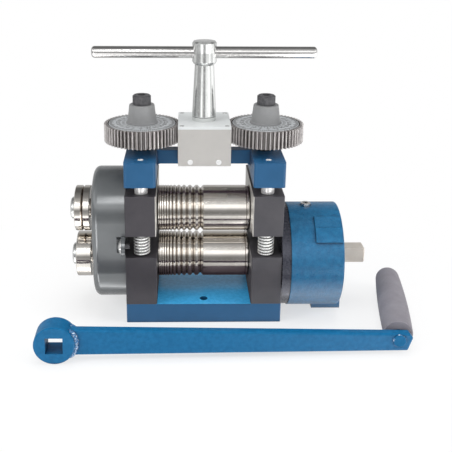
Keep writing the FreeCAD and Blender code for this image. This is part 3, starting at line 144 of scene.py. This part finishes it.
def surface(name, colour, tint, rough, metallic=0.0, patch_scale=45.0, patch=(0.35, 0.7), rough_spread=0.08,
            grain=None, grain_scale=900.0, grain_depth=0.00002, cast_scale=0.0, cast_depth=0.0,
            painted_crease_shade=None, painted_shade_reach=0.0025, coat=0.0, bevel=0.0004, specular=0.5):
    """A painted or machined finish: patchy colour, painted shade darkening its creases and corners, uneven
    roughness, fine relief and softened edges.
    """
    mat, tree, bsdf = new_material(name)
    patches = remap(tree, noise(tree, patch_scale, 4.0), patch[0], patch[1], 0.0, 1.0)
    shade = mix_colours(tree, patches, colour, tint)
    # Painted shade: the crease colour is mixed in where ambient occlusion finds nearby surfaces.
    if painted_crease_shade is not None:
        open_part = remap(tree, occlusion(tree, painted_shade_reach), 0.35, 0.95, 0.0, 1.0)
        shade = mix_colours(tree, open_part, painted_crease_shade, shade)
    tree.links.new(shade, bsdf.inputs["Base Color"])
    smoothest, roughest = rough - rough_spread, rough + rough_spread
    uneven = remap(tree, noise(tree, patch_scale * 7.0, 2.0), 0.3, 0.7, smoothest, roughest)
    tree.links.new(uneven, bsdf.inputs["Roughness"])
    bsdf.inputs["Metallic"].default_value = metallic
    bsdf.inputs["Coat Weight"].default_value = coat
    bsdf.inputs["Coat Roughness"].default_value = 0.08
    bsdf.inputs["Specular IOR Level"].default_value = specular
    normal = None
    if bevel > 0.0:
        soft = tree.nodes.new("ShaderNodeBevel")
        soft.samples = 4
        soft.inputs["Radius"].default_value = bevel
        normal = soft.outputs["Normal"]
    for stretch, scale, depth in ((grain, grain_scale, grain_depth), ((1, 1, 1), cast_scale, cast_depth)):
        if stretch is None or depth <= 0.0:
            continue
        bump = tree.nodes.new("ShaderNodeBump")
        bump.inputs["Distance"].default_value = depth
        tree.links.new(noise(tree, scale, 3.0, stretch), bump.inputs["Height"])
        if normal is not None:
            tree.links.new(normal, bump.inputs["Normal"])
        normal = bump.outputs["Normal"]
    if normal is not None:
        tree.links.new(normal, bsdf.inputs["Normal"])
        tree.links.new(normal, bsdf.inputs["Coat Normal"])
    return mat


# ---- Finishes ----------------------------------------------------------------
# A crease colour given to a finish below is painted shade in its corners and creases.
frame_blue = surface("frame blue enamel", (0.013, 0.090, 0.208), (0.017, 0.102, 0.231), 0.38, coat=0.08,
                     specular=0.30, cast_scale=260.0, cast_depth=0.00004, painted_crease_shade=(0.006, 0.035, 0.090),
                     painted_shade_reach=0.004)
cast_blue = surface("cast blue enamel", (0.005, 0.108, 0.238), (0.014, 0.160, 0.335), 0.32, coat=0.10,
                    specular=0.45, patch_scale=160.0, cast_scale=420.0, cast_depth=0.00045,
                    painted_crease_shade=(0.003, 0.030, 0.085), painted_shade_reach=0.005, bevel=0.0016)
crank_blue = surface("crank blue enamel", (0.002, 0.112, 0.262), (0.006, 0.142, 0.325), 0.37, coat=0.04,
                     specular=0.2, patch_scale=220.0, cast_scale=380.0, cast_depth=0.00012,
                     painted_crease_shade=(0.005, 0.045, 0.120), painted_shade_reach=0.004)


def block_finish(name, colour, tint):
    """Dark bearing block with an upright grain."""
    return surface(name, colour, tint, 0.42, metallic=0.15, grain=(1, 1, 9), grain_scale=260.0, specular=0.35,
                   painted_crease_shade=(0.014, 0.012, 0.014))


charcoal = block_finish("charcoal blocks", (0.046, 0.043, 0.050), (0.060, 0.055, 0.062))
# Painted light: the right blocks take a lighter copy of the left blocks' charcoal, for the stronger light
# falling on them.
charcoal_painted_lighter = block_finish("charcoal right blocks painted lighter", (0.062, 0.060, 0.068), (0.080, 0.076, 0.084))
flange_dark = surface("gearbox flange", (0.045, 0.047, 0.064), (0.058, 0.060, 0.078), 0.28, metallic=0.3,
                      painted_crease_shade=(0.012, 0.012, 0.018))
cover_grey = surface("gear cover grey", (0.128, 0.137, 0.143), (0.146, 0.155, 0.161), 0.18, metallic=0.30,
                     coat=0.3, specular=1.0, rough_spread=0.02, bevel=0.0)
black_oxide = surface("black oxide", (0.070, 0.069, 0.075), (0.115, 0.113, 0.118), 0.45, metallic=0.3,
                      patch_scale=300.0)
bright_screw = surface("bright screws", (0.72, 0.72, 0.72), (0.82, 0.82, 0.80), 0.25, metallic=1.0,
                       patch_scale=300.0)
bronze = surface("bearing bronze", (0.42, 0.27, 0.12), (0.52, 0.35, 0.17), 0.33, metallic=1.0,
                 grain=(12, 1, 1), grain_scale=500.0)
ground_rod = surface("ground rod", (0.66, 0.65, 0.64), (0.76, 0.75, 0.74), 0.30, metallic=0.45,
                     grain=(1, 1, 10), grain_scale=500.0)
spring_wire = surface("zinc plated spring", (0.86, 0.86, 0.84), (0.94, 0.94, 0.92), 0.28, metallic=0.6,
                      patch_scale=150.0, painted_crease_shade=(0.06, 0.055, 0.06), painted_shade_reach=0.0016, bevel=0.0)
housing_metal = surface("ground housing", (0.455, 0.440, 0.420), (0.495, 0.478, 0.456), 0.42, metallic=0.35,
                        patch_scale=30.0, grain=(1, 1, 14), grain_scale=420.0, grain_depth=0.00001)
cap_metal = surface("ground housing cap", (0.66, 0.68, 0.68), (0.72, 0.74, 0.74), 0.45, metallic=0.1,
                    patch_scale=30.0, bevel=0.0)
turned_bright = surface("turned bright steel", (0.70, 0.71, 0.70), (0.78, 0.79, 0.78), 0.18, metallic=0.88,
                        grain=(1, 1, 14), grain_scale=420.0, grain_depth=0.00001)
bar_bright = surface("polished bar", (0.74, 0.73, 0.72), (0.82, 0.81, 0.80), 0.16, metallic=1.0,
                     grain=(1, 8, 8), grain_scale=300.0, grain_depth=0.000003)
gear_steel = surface("gear steel", (0.39, 0.365, 0.36), (0.51, 0.49, 0.48), 0.40, metallic=0.7,
                     patch_scale=120.0, painted_crease_shade=(0.030, 0.022, 0.018), painted_shade_reach=0.0026, bevel=0.00025)
roll_steel = surface("polished rolls", (0.70, 0.665, 0.615), (0.78, 0.75, 0.71), 0.12, metallic=1.0,
                     grain=(16, 1, 1), grain_scale=420.0, grain_depth=0.00001, rough_spread=0.04,
                     painted_crease_shade=(0.14, 0.09, 0.06), painted_shade_reach=0.002, bevel=0.00015)
dial_metal = surface("dial face", (0.58, 0.60, 0.62), (0.68, 0.70, 0.72), 0.40, metallic=0.5,
                     patch_scale=260.0, painted_crease_shade=(0.05, 0.05, 0.05), painted_shade_reach=0.0012)
cone_metal = surface("blasted cone", (0.27, 0.272, 0.275), (0.31, 0.312, 0.315), 0.50, metallic=0.25,
                     cast_scale=1400.0, cast_depth=0.00003)
drive_metal = surface("drive shaft steel", (0.62, 0.56, 0.49), (0.70, 0.64, 0.57), 0.38, metallic=0.35,
                      patch_scale=90.0, bevel=0.0)
grip_matte = surface("grip", (0.235, 0.222, 0.248), (0.275, 0.262, 0.288), 0.60, patch_scale=60.0,
                     cast_scale=420.0, cast_depth=0.00004, bevel=0.0006, specular=0.3)
engraving = surface("engraving fill", (0.018, 0.017, 0.017), (0.040, 0.036, 0.034), 0.70, patch_scale=400.0,
                    bevel=0.0)
# Painted light: the base's upward faces take a blue about four times brighter than the sides' enamel,
# standing in for the light on the base's top between the blocks.
base_top_painted_light = surface("base top enamel painted lighter", (0.030, 0.400, 0.800), (0.060, 0.480, 0.900), 0.34, coat=0.4,
                        specular=0.8, patch_scale=220.0, patch=(0.42, 0.58), cast_scale=420.0,
                        cast_depth=0.00012, bevel=0.0)
machined_side = surface("machined block sides", (0.60, 0.58, 0.54), (0.70, 0.68, 0.64), 0.38, metallic=0.5,
                        grain=(1, 9, 1), grain_scale=260.0, grain_depth=0.00001, painted_crease_shade=(0.10, 0.08, 0.07))
# Painted highlights: near-white spots standing in for glints in the yoke screws' sockets and on the clamp
# screws' front heads.
painted_glint = surface("painted bright glints", (0.88, 0.88, 0.88), (0.94, 0.94, 0.94), 0.22, metallic=0.2,
                    patch_scale=400.0, bevel=0.0)
# Blue enamel over the welds, with pale patches that are painted glints.
weld_paint_and_glints = surface("painted weld with painted glints", (0.014, 0.140, 0.330), (0.560, 0.690, 0.820), 0.22, coat=1.0,
                     patch_scale=420.0, patch=(0.56, 0.62), cast_scale=600.0, cast_depth=0.0003, bevel=0.0)


def principled(mat):
    return next(node for node in mat.node_tree.nodes if node.type == "BSDF_PRINCIPLED")


def dim_in_mirrors(mat, colour):
    """Another colour to mirror rays, so that the polished rolls don't take on this finish's blue."""
    tree = mat.node_tree
    bsdf = principled(mat)
    shade = bsdf.inputs["Base Color"].links[0].from_socket
    path = tree.nodes.new("ShaderNodeLightPath")
    tree.links.new(mix_colours(tree, path.outputs["Is Glossy Ray"], shade, colour), bsdf.inputs["Base Color"])


mirror_grey = (0.120, 0.090, 0.120)
for mat in (base_top_painted_light, crank_blue, frame_blue):
    dim_in_mirrors(mat, mirror_grey)


def threaded(name, colour, tint, pitch):
    """Ground rod with a fine screw thread cut in relief along Z."""
    mat = surface(name, colour, tint, 0.30, metallic=1.0, painted_crease_shade=(0.06, 0.05, 0.05))
    tree = mat.node_tree
    where = tree.nodes.new("ShaderNodeTexCoord")
    wave = tree.nodes.new("ShaderNodeTexWave")
    wave.bands_direction = "Z"
    wave.inputs["Scale"].default_value = 2.0 * math.pi / (20.0 * pitch)
    tree.links.new(where.outputs["Object"], wave.inputs["Vector"])
    bump = tree.nodes.new("ShaderNodeBump")
    bump.inputs["Distance"].default_value = pitch * 0.3
    tree.links.new(wave.outputs["Fac"], bump.inputs["Height"])
    tree.links.new(bump.outputs["Normal"], principled(mat).inputs["Normal"])
    return mat


thread_pitch = 25.4 / 12.0 * MM
screw_thread = threaded("pressure screw", (0.34, 0.33, 0.32), (0.46, 0.45, 0.44), thread_pitch)

finishes = {
    frame_blue: ["base", "yoke", "yoke_screws"],
    cast_blue: ["gearbox_housing"],
    crank_blue: ["crank_hub", "crank_arm", "grip_spindle"],
    charcoal: ["left_lower_chock", "left_upper_chock"],
    # The right blocks take the charcoal painted lighter.
    charcoal_painted_lighter: ["right_lower_chock", "right_upper_chock"],
    flange_dark: ["gearbox_flange"],
    cover_grey: ["cover_back_plate", "roll_gear_cover"],
    black_oxide: ["base_screws", "flange_screws", "gearbox_screws", "back_plate_screws", "left_cap_screw",
                  "right_cap_screw"],
    bright_screw: ["housing_screws", "cover_screws", "oil_plug"],
    bronze: ["lower_roll_bushes", "upper_roll_bushes", "drive_bush"],
    ground_rod: ["guide_pillars"],
    spring_wire: ["lift_springs"],
    housing_metal: ["pinion_housing"],
    cap_metal: ["housing_cap"],
    turned_bright: ["tee_column", "tee_hub", "spindle_bush", "upper_end_bolt", "lower_end_bolt"],
    bar_bright: ["tee_bar"],
    gear_steel: ["pinion_spindle", "left_screw_gear", "right_screw_gear", "ring_gear", "planet_carrier",
                 "planet_gear_1", "planet_gear_2", "planet_gear_3", "upper_roll_gear", "lower_roll_gear"],
    roll_steel: ["upper_roll", "lower_roll", "upper_extension_roll", "lower_extension_roll"],
    dial_metal: ["left_dial", "right_dial"],
    cone_metal: ["left_cone_boss", "right_cone_boss"],
    drive_metal: ["drive_shaft"],
    screw_thread: ["left_screw_spindle", "right_screw_spindle"],
    grip_matte: ["crank_grip"],
}
for mat, names in finishes.items():
    for name in names:
        mesh = nodes[name].data
        mesh.materials.clear()
        mesh.materials.append(mat)
        for polygon in mesh.polygons:
            polygon.material_index = 0


def refinish(name, mat, test):
    """Give the polygons that pass the test a finish of their own."""
    mesh = nodes[name].data
    mesh.materials.append(mat)
    for polygon in mesh.polygons:
        if test(polygon.center, polygon.normal):
            polygon.material_index = 1


def faces_up(centre, normal):
    return normal.z > 0.5


def faces_the_rolls(centre, normal):
    """Inner side of a block, up to 0.8 mm into it, so that its chamfer is in."""
    return normal.x * centre.x < 0.0 and abs(centre.x) < upper_chock_inner_x + 0.8 * MM


def in_yoke_screw_socket(centre, normal):
    off_axis = math.hypot(abs(centre.x) - screw_x, abs(centre.y) - pillar_y)
    return centre.z > yoke_top_z - 3.4 * MM and off_axis < 4.0 * MM


def on_cover_screw_shank(centre, normal):
    off_axis = math.hypot(abs(centre.y) - cover_screw_y, centre.z - cover_screw_z)
    return abs(normal.x) < 0.3 and off_axis < 3.3 * MM


def on_front_screw_head(centre, normal):
    return abs(centre.y) > housing_front_y - 0.7 * MM


# Painted light: the upward faces of the base take the brighter blue.
refinish("base", base_top_painted_light, faces_up)
for side_name, side in both_sides:
    refinish(side_name + "_upper_chock", machined_side, faces_the_rolls)
# Painted glints in the yoke screws' sockets.
refinish("yoke_screws", painted_glint, in_yoke_screw_socket)
refinish("cover_screws", black_oxide, on_cover_screw_shank)
# Painted glints on the clamp screws' front heads.
refinish("housing_screws", painted_glint, on_front_screw_head)


# ---- Mesh helpers ------------------------------------------------------------
def mesh_object(name, verts, faces, mat, smooth=True):
    mesh = bpy.data.meshes.new(name)
    mesh.from_pydata(verts, [], faces)
    mesh.update()
    if smooth:
        mesh.polygons.foreach_set("use_smooth", [True] * len(mesh.polygons))
    mesh.materials.append(mat)
    obj = bpy.data.objects.new(name, mesh)
    bpy.context.scene.collection.objects.link(obj)
    return obj


# ---- Lift springs ------------------------------------------------------------
def spring_mesh(centres, low, high, coil_radius, wire_radius, turns):
    """Open coils with one closed turn at each end."""
    verts, faces = [], []
    steps, sides = 40, 12
    count = int(turns * steps)
    rise = high - low - 2.0 * wire_radius
    flat = 0.75 / turns
    for cx, cy, start in centres:
        base = len(verts)
        for i in range(count + 1):
            share = i / count
            angle = start + share * turns * 2.0 * math.pi
            eased = min(1.0, max(0.0, (share - flat * 0.5) / (1.0 - flat)))
            z = low + wire_radius + rise * eased
            out = Vector((math.cos(angle), math.sin(angle), 0.0))
            centre = Vector((cx, cy, z)) + out * coil_radius
            for j in range(sides):
                turn = 2.0 * math.pi * j / sides
                verts.append(centre + out * (wire_radius * math.cos(turn))
                             + Vector((0, 0, wire_radius * math.sin(turn))))
        for i in range(count):
            for j in range(sides):
                a = base + i * sides + j
                b = base + i * sides + (j + 1) % sides
                faces.append((a, b, b + sides, a + sides))
        faces.append(tuple(base + j for j in reversed(range(sides))))
        faces.append(tuple(base + count * sides + j for j in range(sides)))
    return verts, faces


spring_end_clearance = 0.05 * MM
spring_coil_radius = 7.8 * MM
spring_wire_radius = 1.25 * MM
spring_turns = 7.0
coils_bottom_z = springs_low.z - spring_end_clearance
coils_top_z = springs_high.z + spring_end_clearance
coil_starts = []
for side, start_angle in ((-1, 0.7), (1, 2.2)):
    for end in (-1, 1):
        coil_starts.append((side * screw_x, end * pillar_y, start_angle))
spring_verts, spring_faces = spring_mesh(coil_starts, coils_bottom_z, coils_top_z, spring_coil_radius,
                                         spring_wire_radius, spring_turns)
springs = mesh_object("lift_spring_coils", spring_verts, spring_faces, spring_wire)
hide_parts("lift_springs")
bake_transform(springs)


# ---- Dial engraving ----------------------------------------------------------
def text_mesh(text, size):
    curve = bpy.data.curves.new("figure", "FONT")
    curve.body = text
    curve.size = size
    curve.align_x = "CENTER"
    curve.align_y = "CENTER"
    curve.resolution_u = 3
    temporary = bpy.data.objects.new("figure", curve)
    bpy.context.scene.collection.objects.link(temporary)
    bpy.context.view_layer.update()
    mesh = bpy.data.meshes.new_from_object(temporary.evaluated_get(bpy.context.evaluated_depsgraph_get()))
    verts = [v.co.copy() for v in mesh.vertices]
    faces = [tuple(p.vertices) for p in mesh.polygons]
    bpy.data.objects.remove(temporary)
    bpy.data.curves.remove(curve)
    bpy.data.meshes.remove(mesh)
    return verts, faces


mark_lift = 0.04 * MM
outer_marks = 100
outer_mark_end = 36.0 * MM
outer_mark_start = 33.0 * MM
long_mark_start = 31.0 * MM
outer_mark_width = 0.85 * MM
inner_marks = 40
inner_mark_start = 19.4 * MM
inner_mark_end = 22.4 * MM
inner_mark_width = 0.75 * MM
figures = 20
figure_step = 5
figure_radius = 26.6 * MM
figure_size = 6.4 * MM


def engrave_dial(side_name, x):
    """Two rings of division marks with figures between them, just proud of the dial's face."""
    z = dial_face_z + mark_lift
    verts, faces = [], []

    def radial(angle, inner, outer, width):
        along = Vector((math.cos(angle), math.sin(angle), 0.0))
        across = Vector((-along.y, along.x, 0.0)) * (width / 2.0)
        base = len(verts)
        for radius in (inner, outer):
            for sign in (-1, 1):
                verts.append(Vector((x, 0, z)) + along * radius + across * sign)
        faces.append((base, base + 2, base + 3, base + 1))

    for i in range(outer_marks):
        inner = long_mark_start if i % figure_step == 0 else outer_mark_start
        radial(2.0 * math.pi * i / outer_marks, inner, outer_mark_end, outer_mark_width)
    for i in range(inner_marks):
        radial(2.0 * math.pi * i / inner_marks, inner_mark_start, inner_mark_end, inner_mark_width)
    for i in range(figures):
        turn = -2.0 * math.pi * i / figures
        angle = turn - math.pi / 2.0
        figure_verts, figure_faces = text_mesh(str(i * figure_step), figure_size)
        base = len(verts)
        centre = Vector((x + figure_radius * math.cos(angle), figure_radius * math.sin(angle), z))
        for v in figure_verts:
            fx = v.x * math.cos(turn) - v.y * math.sin(turn)
            fy = v.x * math.sin(turn) + v.y * math.cos(turn)
            verts.append(centre + Vector((fx, fy, 0.0)))
        faces.extend(tuple(base + k for k in face) for face in figure_faces)
    marks = mesh_object(side_name + "_dial_engraving", verts, faces, engraving, smooth=False)
    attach(marks, side_name + "_screw")


for side_name, side in both_sides:
    engrave_dial(side_name, side * screw_x)


# ---- Knurled rims of the cap screws ------------------------------------------
knurl_ridges = 36
knurl_root = 9.65 * MM
knurl_crest = 10.05 * MM
knurl_bottom_z = cap_head_bottom_z + 0.7 * MM
knurl_top_z = cap_head_top_z - 1.1 * MM


def knurl(side_name, x):
    """Straight knurling round the socket head."""
    verts, faces = [], []
    edges = 2 * knurl_ridges
    for i in range(edges):
        angle = 2.0 * math.pi * i / edges
        radius = knurl_crest if i % 2 == 0 else knurl_root
        for z in (knurl_bottom_z, knurl_top_z):
            verts.append((x + radius * math.cos(angle), radius * math.sin(angle), z))
    for i in range(edges):
        j = (i + 1) % edges
        faces.append((2 * i, 2 * j, 2 * j + 1, 2 * i + 1))
    rim = mesh_object(side_name + "_cap_screw_knurl", verts, faces, black_oxide, smooth=False)
    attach(rim, side_name + "_screw")


for side_name, side in both_sides:
    knurl(side_name, side * screw_x)


# ---- Weld beads on the crank -------------------------------------------------
def bead(name, points, radius):
    """A run of overlapping drops along a line."""
    verts, faces = [], []
    rings, sides = 6, 10
    for k, (centre, size) in enumerate(points):
        base = len(verts)
        r = radius * size
        for i in range(rings + 1):
            polar = math.pi * i / rings
            for j in range(sides):
                turn = 2.0 * math.pi * j / sides + k
                verts.append(centre + Vector((r * math.sin(polar) * math.cos(turn),
                                              r * math.sin(polar) * math.sin(turn),
                                              r * math.cos(polar))))
        for i in range(rings):
            for j in range(sides):
                a = base + i * sides + j
                b = base + i * sides + (j + 1) % sides
                faces.append((a, a + sides, b + sides, b))
    return mesh_object(name, verts, faces, weld_paint_and_glints)


crank_yaw = math.radians(1.5)
crank_lean = math.radians(1.195)
hub_radius = 20.8
hub_weld_drops = 17
hub_weld_half_height = 14.0
hub_weld_face_y = 5.6
hub_weld_proud = 0.6
spindle_weld_drops = 18
spindle_weld_x = 353.4
spindle_weld_y = -5.5
spindle_weld_z = 2.8
spindle_weld_radius = 5.9


def on_crank(x, y, z):
    """A point given in mm in the crank's own frame: x along the arm, y through the hub, z up."""
    ax = x * math.cos(crank_lean) + z * math.sin(crank_lean)
    az = -x * math.sin(crank_lean) + z * math.cos(crank_lean)
    return hub_centre + Vector((ax * math.cos(crank_yaw) - y * math.sin(crank_yaw),
                                ax * math.sin(crank_yaw) + y * math.cos(crank_yaw), az)) * MM


hub_weld = []
for face in (-1, 1):
    for i in range(hub_weld_drops):
        z = hub_weld_half_height * (2.0 * i / (hub_weld_drops - 1) - 1.0)
        x = math.sqrt(hub_radius ** 2 - z ** 2) + hub_weld_proud
        hub_weld.append((on_crank(x, face * hub_weld_face_y, z), 1.0 + 0.35 * math.sin(i * 2.3)))
spindle_weld = []
for i in range(spindle_weld_drops):
    turn = 2.0 * math.pi * i / spindle_weld_drops
    place = on_crank(spindle_weld_x + spindle_weld_radius * math.cos(turn), spindle_weld_y,
                     spindle_weld_z + spindle_weld_radius * math.sin(turn))
    spindle_weld.append((place, 0.9 + 0.4 * math.sin(i * 1.7)))
for weld in (bead("hub_weld", hub_weld, 2.6 * MM), bead("grip_spindle_weld", spindle_weld, 1.2 * MM)):
    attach(weld, "crank")


# ---- Floor, light and camera -------------------------------------------------
def floor():
    """White sheet, unseen by mirrors: shadowed near the mill, with even white mixed in for the camera, and
    lit evenly to the camera further out.
    """
    mat, tree, bsdf = new_material("white floor")
    patches = remap(tree, noise(tree, 3.0, 2.0), 0.3, 0.7, 0.0, 1.0)
    white = mix_colours(tree, patches, (0.92, 0.92, 0.92), (0.94, 0.94, 0.94))
    tree.links.new(white, bsdf.inputs["Base Color"])
    bsdf.inputs["Roughness"].default_value = 0.9
    bsdf.inputs["Specular IOR Level"].default_value = 0.0
    where = tree.nodes.new("ShaderNodeTexCoord")
    reach = tree.nodes.new("ShaderNodeVectorMath")
    reach.operation = "LENGTH"
    tree.links.new(where.outputs["Object"], reach.inputs[0])
    far = remap(tree, reach.outputs["Value"], 0.12, 0.36, 0.60, 1.0)
    path = tree.nodes.new("ShaderNodeLightPath")
    seen = math_node(tree, "MULTIPLY", far, path.outputs["Is Camera Ray"])
    glow = tree.nodes.new("ShaderNodeEmission")
    glow.inputs["Color"].default_value = (1.0, 1.0, 1.0, 1.0)
    glow.inputs["Strength"].default_value = 1.0
    blend = tree.nodes.new("ShaderNodeMixShader")
    tree.links.new(seen, blend.inputs["Fac"])
    tree.links.new(bsdf.outputs["BSDF"], blend.inputs[1])
    tree.links.new(glow.outputs["Emission"], blend.inputs[2])
    out = next(node for node in tree.nodes if node.type == "OUTPUT_MATERIAL")
    tree.links.new(blend.outputs["Shader"], out.inputs["Surface"])
    half = 6.0
    z = -0.2 * MM
    verts = [(-half, -half, z), (half, -half, z), (half, half, z), (-half, half, z)]
    plane = mesh_object("floor", verts, [(0, 1, 2, 3)], mat, smooth=False)
    plane.visible_glossy = False


def grey_ramp(tree, value, stops):
    """Brightness looked up along a value from 0 to 1; the stops' levels may pass 1."""
    top = max(level for place, level in stops)
    ramp = tree.nodes.new("ShaderNodeValToRGB")
    ramp.color_ramp.interpolation = "EASE"
    while len(ramp.color_ramp.elements) > 1:
        ramp.color_ramp.elements.remove(ramp.color_ramp.elements[0])
    ramp.color_ramp.elements[0].position = stops[0][0]
    ramp.color_ramp.elements[0].color = (stops[0][1] / top,) * 3 + (1.0,)
    for place, level in stops[1:]:
        element = ramp.color_ramp.elements.new(place)
        element.color = (level / top,) * 3 + (1.0,)
    tree.links.new(value, ramp.inputs["Fac"])
    return remap(tree, ramp.outputs["Color"], 0.0, 1.0, 0.0, top)


def math_node(tree, operation, *values):
    node = tree.nodes.new("ShaderNodeMath")
    node.operation = operation
    for i, value in enumerate(values):
        if isinstance(value, float):
            node.inputs[i].default_value = value
        else:
            tree.links.new(value, node.inputs[i])
    return node.outputs["Value"]


def by_height(stops):
    """Stops given by elevation in degrees, turned into places along a ramp of the direction's Z."""
    return [((math.sin(math.radians(degrees)) + 1.0) / 2.0, level) for degrees, level in stops]


def world():
    """White to the camera; to mirrors a studio with soft boxes, dark cards and a bright one for the cover."""
    scene_world = bpy.data.worlds.new("studio")
    bpy.context.scene.world = scene_world
    scene_world.use_nodes = True
    tree = scene_world.node_tree
    tree.nodes.clear()
    out = tree.nodes.new("ShaderNodeOutputWorld")
    where = tree.nodes.new("ShaderNodeTexCoord")
    split = tree.nodes.new("ShaderNodeSeparateXYZ")
    tree.links.new(where.outputs["Generated"], split.inputs["Vector"])
    height = remap(tree, split.outputs["Z"], -1.0, 1.0, 0.0, 1.0)
    front = grey_ramp(tree, height, by_height([
        (-90, 0.60), (-55, 0.52), (-36, 0.55), (-28, 0.95), (-20, 0.42), (-12, 0.22), (-4, 0.22), (6, 0.35),
        (14, 0.75), (20, 1.45), (32, 1.45), (40, 0.75), (60, 0.50), (78, 0.26), (90, 0.20)]))
    back = grey_ramp(tree, height, by_height([
        (-90, 0.60), (-40, 0.55), (-10, 0.50), (0, 0.55), (25, 0.45), (42, 0.14), (70, 0.12), (90, 0.20)]))
    behind = remap(tree, split.outputs["Y"], -0.12, 0.12, 0.0, 1.0)
    level = mix_colours(tree, behind, front, back)
    towards_camera = math_node(tree, "MULTIPLY", split.outputs["Y"], -1.0)
    turn = math_node(tree, "ARCTAN2", split.outputs["X"], towards_camera)
    turn = remap(tree, turn, -math.pi, math.pi, 0.0, 1.0)
    around = grey_ramp(tree, turn, [
        (0.0, 0.9), (0.14, 1.0), (0.27, 1.8), (0.37, 1.6), (0.395, 3.0), (0.42, 9.0), (0.45, 4.4),
        (0.472, 2.0), (0.482, 2.0), (0.491, 1.15), (0.515, 1.05), (0.55, 6.0), (0.60, 6.0), (0.64, 9.0),
        (0.69, 4.5), (0.735, 4.5), (0.81, 2.5), (1.0, 0.9)])
    card_width = grey_ramp(tree, turn, [(0.475, 0.0), (0.480, 1.0), (0.487, 1.0), (0.491, 0.0)])
    card_height = grey_ramp(tree, height, by_height([(28, 0.0), (36, 1.0), (46, 1.0), (56, 0.0)]))
    card = math_node(tree, "MULTIPLY", card_width, card_height)
    low = remap(tree, split.outputs["Z"], -0.10, 0.02, 1.0, 0.0)
    walls = mix_colours(tree, low, (1.0, 1.0, 1.0), around)
    room_light = mix_colours(tree, 1.0, level, walls, "MULTIPLY")
    room_light = mix_colours(tree, card, room_light, (7.5, 7.5, 7.5))
    path = tree.nodes.new("ShaderNodeLightPath")
    room = tree.nodes.new("ShaderNodeBackground")
    tree.links.new(room_light, room.inputs["Color"])
    ambient = tree.nodes.new("ShaderNodeBackground")
    ambient.inputs["Color"].default_value = (0.98, 0.99, 1.0, 1.0)
    ambient.inputs["Strength"].default_value = 0.55
    white = tree.nodes.new("ShaderNodeBackground")
    white.inputs["Color"].default_value = (1.0, 1.0, 1.0, 1.0)
    reflect = tree.nodes.new("ShaderNodeMixShader")
    tree.links.new(path.outputs["Is Glossy Ray"], reflect.inputs["Fac"])
    tree.links.new(ambient.outputs["Background"], reflect.inputs[1])
    tree.links.new(room.outputs["Background"], reflect.inputs[2])
    clear = math_node(tree, "MAXIMUM", path.outputs["Is Camera Ray"], path.outputs["Is Transmission Ray"])
    seen = tree.nodes.new("ShaderNodeMixShader")
    tree.links.new(clear, seen.inputs["Fac"])
    tree.links.new(reflect.outputs["Shader"], seen.inputs[1])
    tree.links.new(white.outputs["Background"], seen.inputs[2])
    tree.links.new(seen.outputs["Shader"], out.inputs["Surface"])


def softbox(name, place, aim, size, power):
    data = bpy.data.lights.new(name, "AREA")
    data.shape = "RECTANGLE"
    data.size, data.size_y = size
    data.energy = power
    lamp = bpy.data.objects.new(name, data)
    lamp.location = place
    lamp.visible_glossy = False
    lamp.rotation_euler = (Vector(aim) - Vector(place)).to_track_quat("-Z", "Y").to_euler()
    bpy.context.scene.collection.objects.link(lamp)


floor()
world()
softbox("left box", (-1.3, -0.7, 0.9), (0, 0, 0.14), (0.7, 1.0), 9.0)
softbox("right box", (1.4, -0.4, 0.8), (0, 0, 0.14), (0.5, 0.9), 7.0)
softbox("top box", (0.0, 0.1, 1.6), (0, 0, 0.1), (1.2, 0.8), 10.0)
softbox("front box", (0.1, -1.9, 0.7), (0, 0, 0.10), (1.0, 0.5), 6.0)

sensor_mm = 36.0
image_px = 452.0
focal_px = 754.0
axis_column_px = 203.15
axis_drop_px = 69.0
camera_place = (-0.0209, -0.80636, 0.42800)
camera_pitch = 17.337
camera_turn = -1.44
camera_roll = 0.428
camera_data = bpy.data.cameras.new("camera")
camera_data.sensor_width = sensor_mm
camera_data.lens = focal_px / image_px * sensor_mm
camera_data.shift_x = (image_px / 2.0 - axis_column_px) / image_px
camera_data.shift_y = -axis_drop_px / image_px
camera_data.clip_start = 0.05
camera = bpy.data.objects.new("camera", camera_data)
camera.location = camera_place
aim = Euler((math.radians(90.0 - camera_pitch), 0.0, math.radians(camera_turn))).to_matrix()
camera.rotation_euler = (aim @ Matrix.Rotation(math.radians(camera_roll), 3, "Z")).to_euler()
bpy.context.scene.collection.objects.link(camera)
bpy.context.scene.camera = camera
bpy.context.scene.view_settings.view_transform = "Standard"
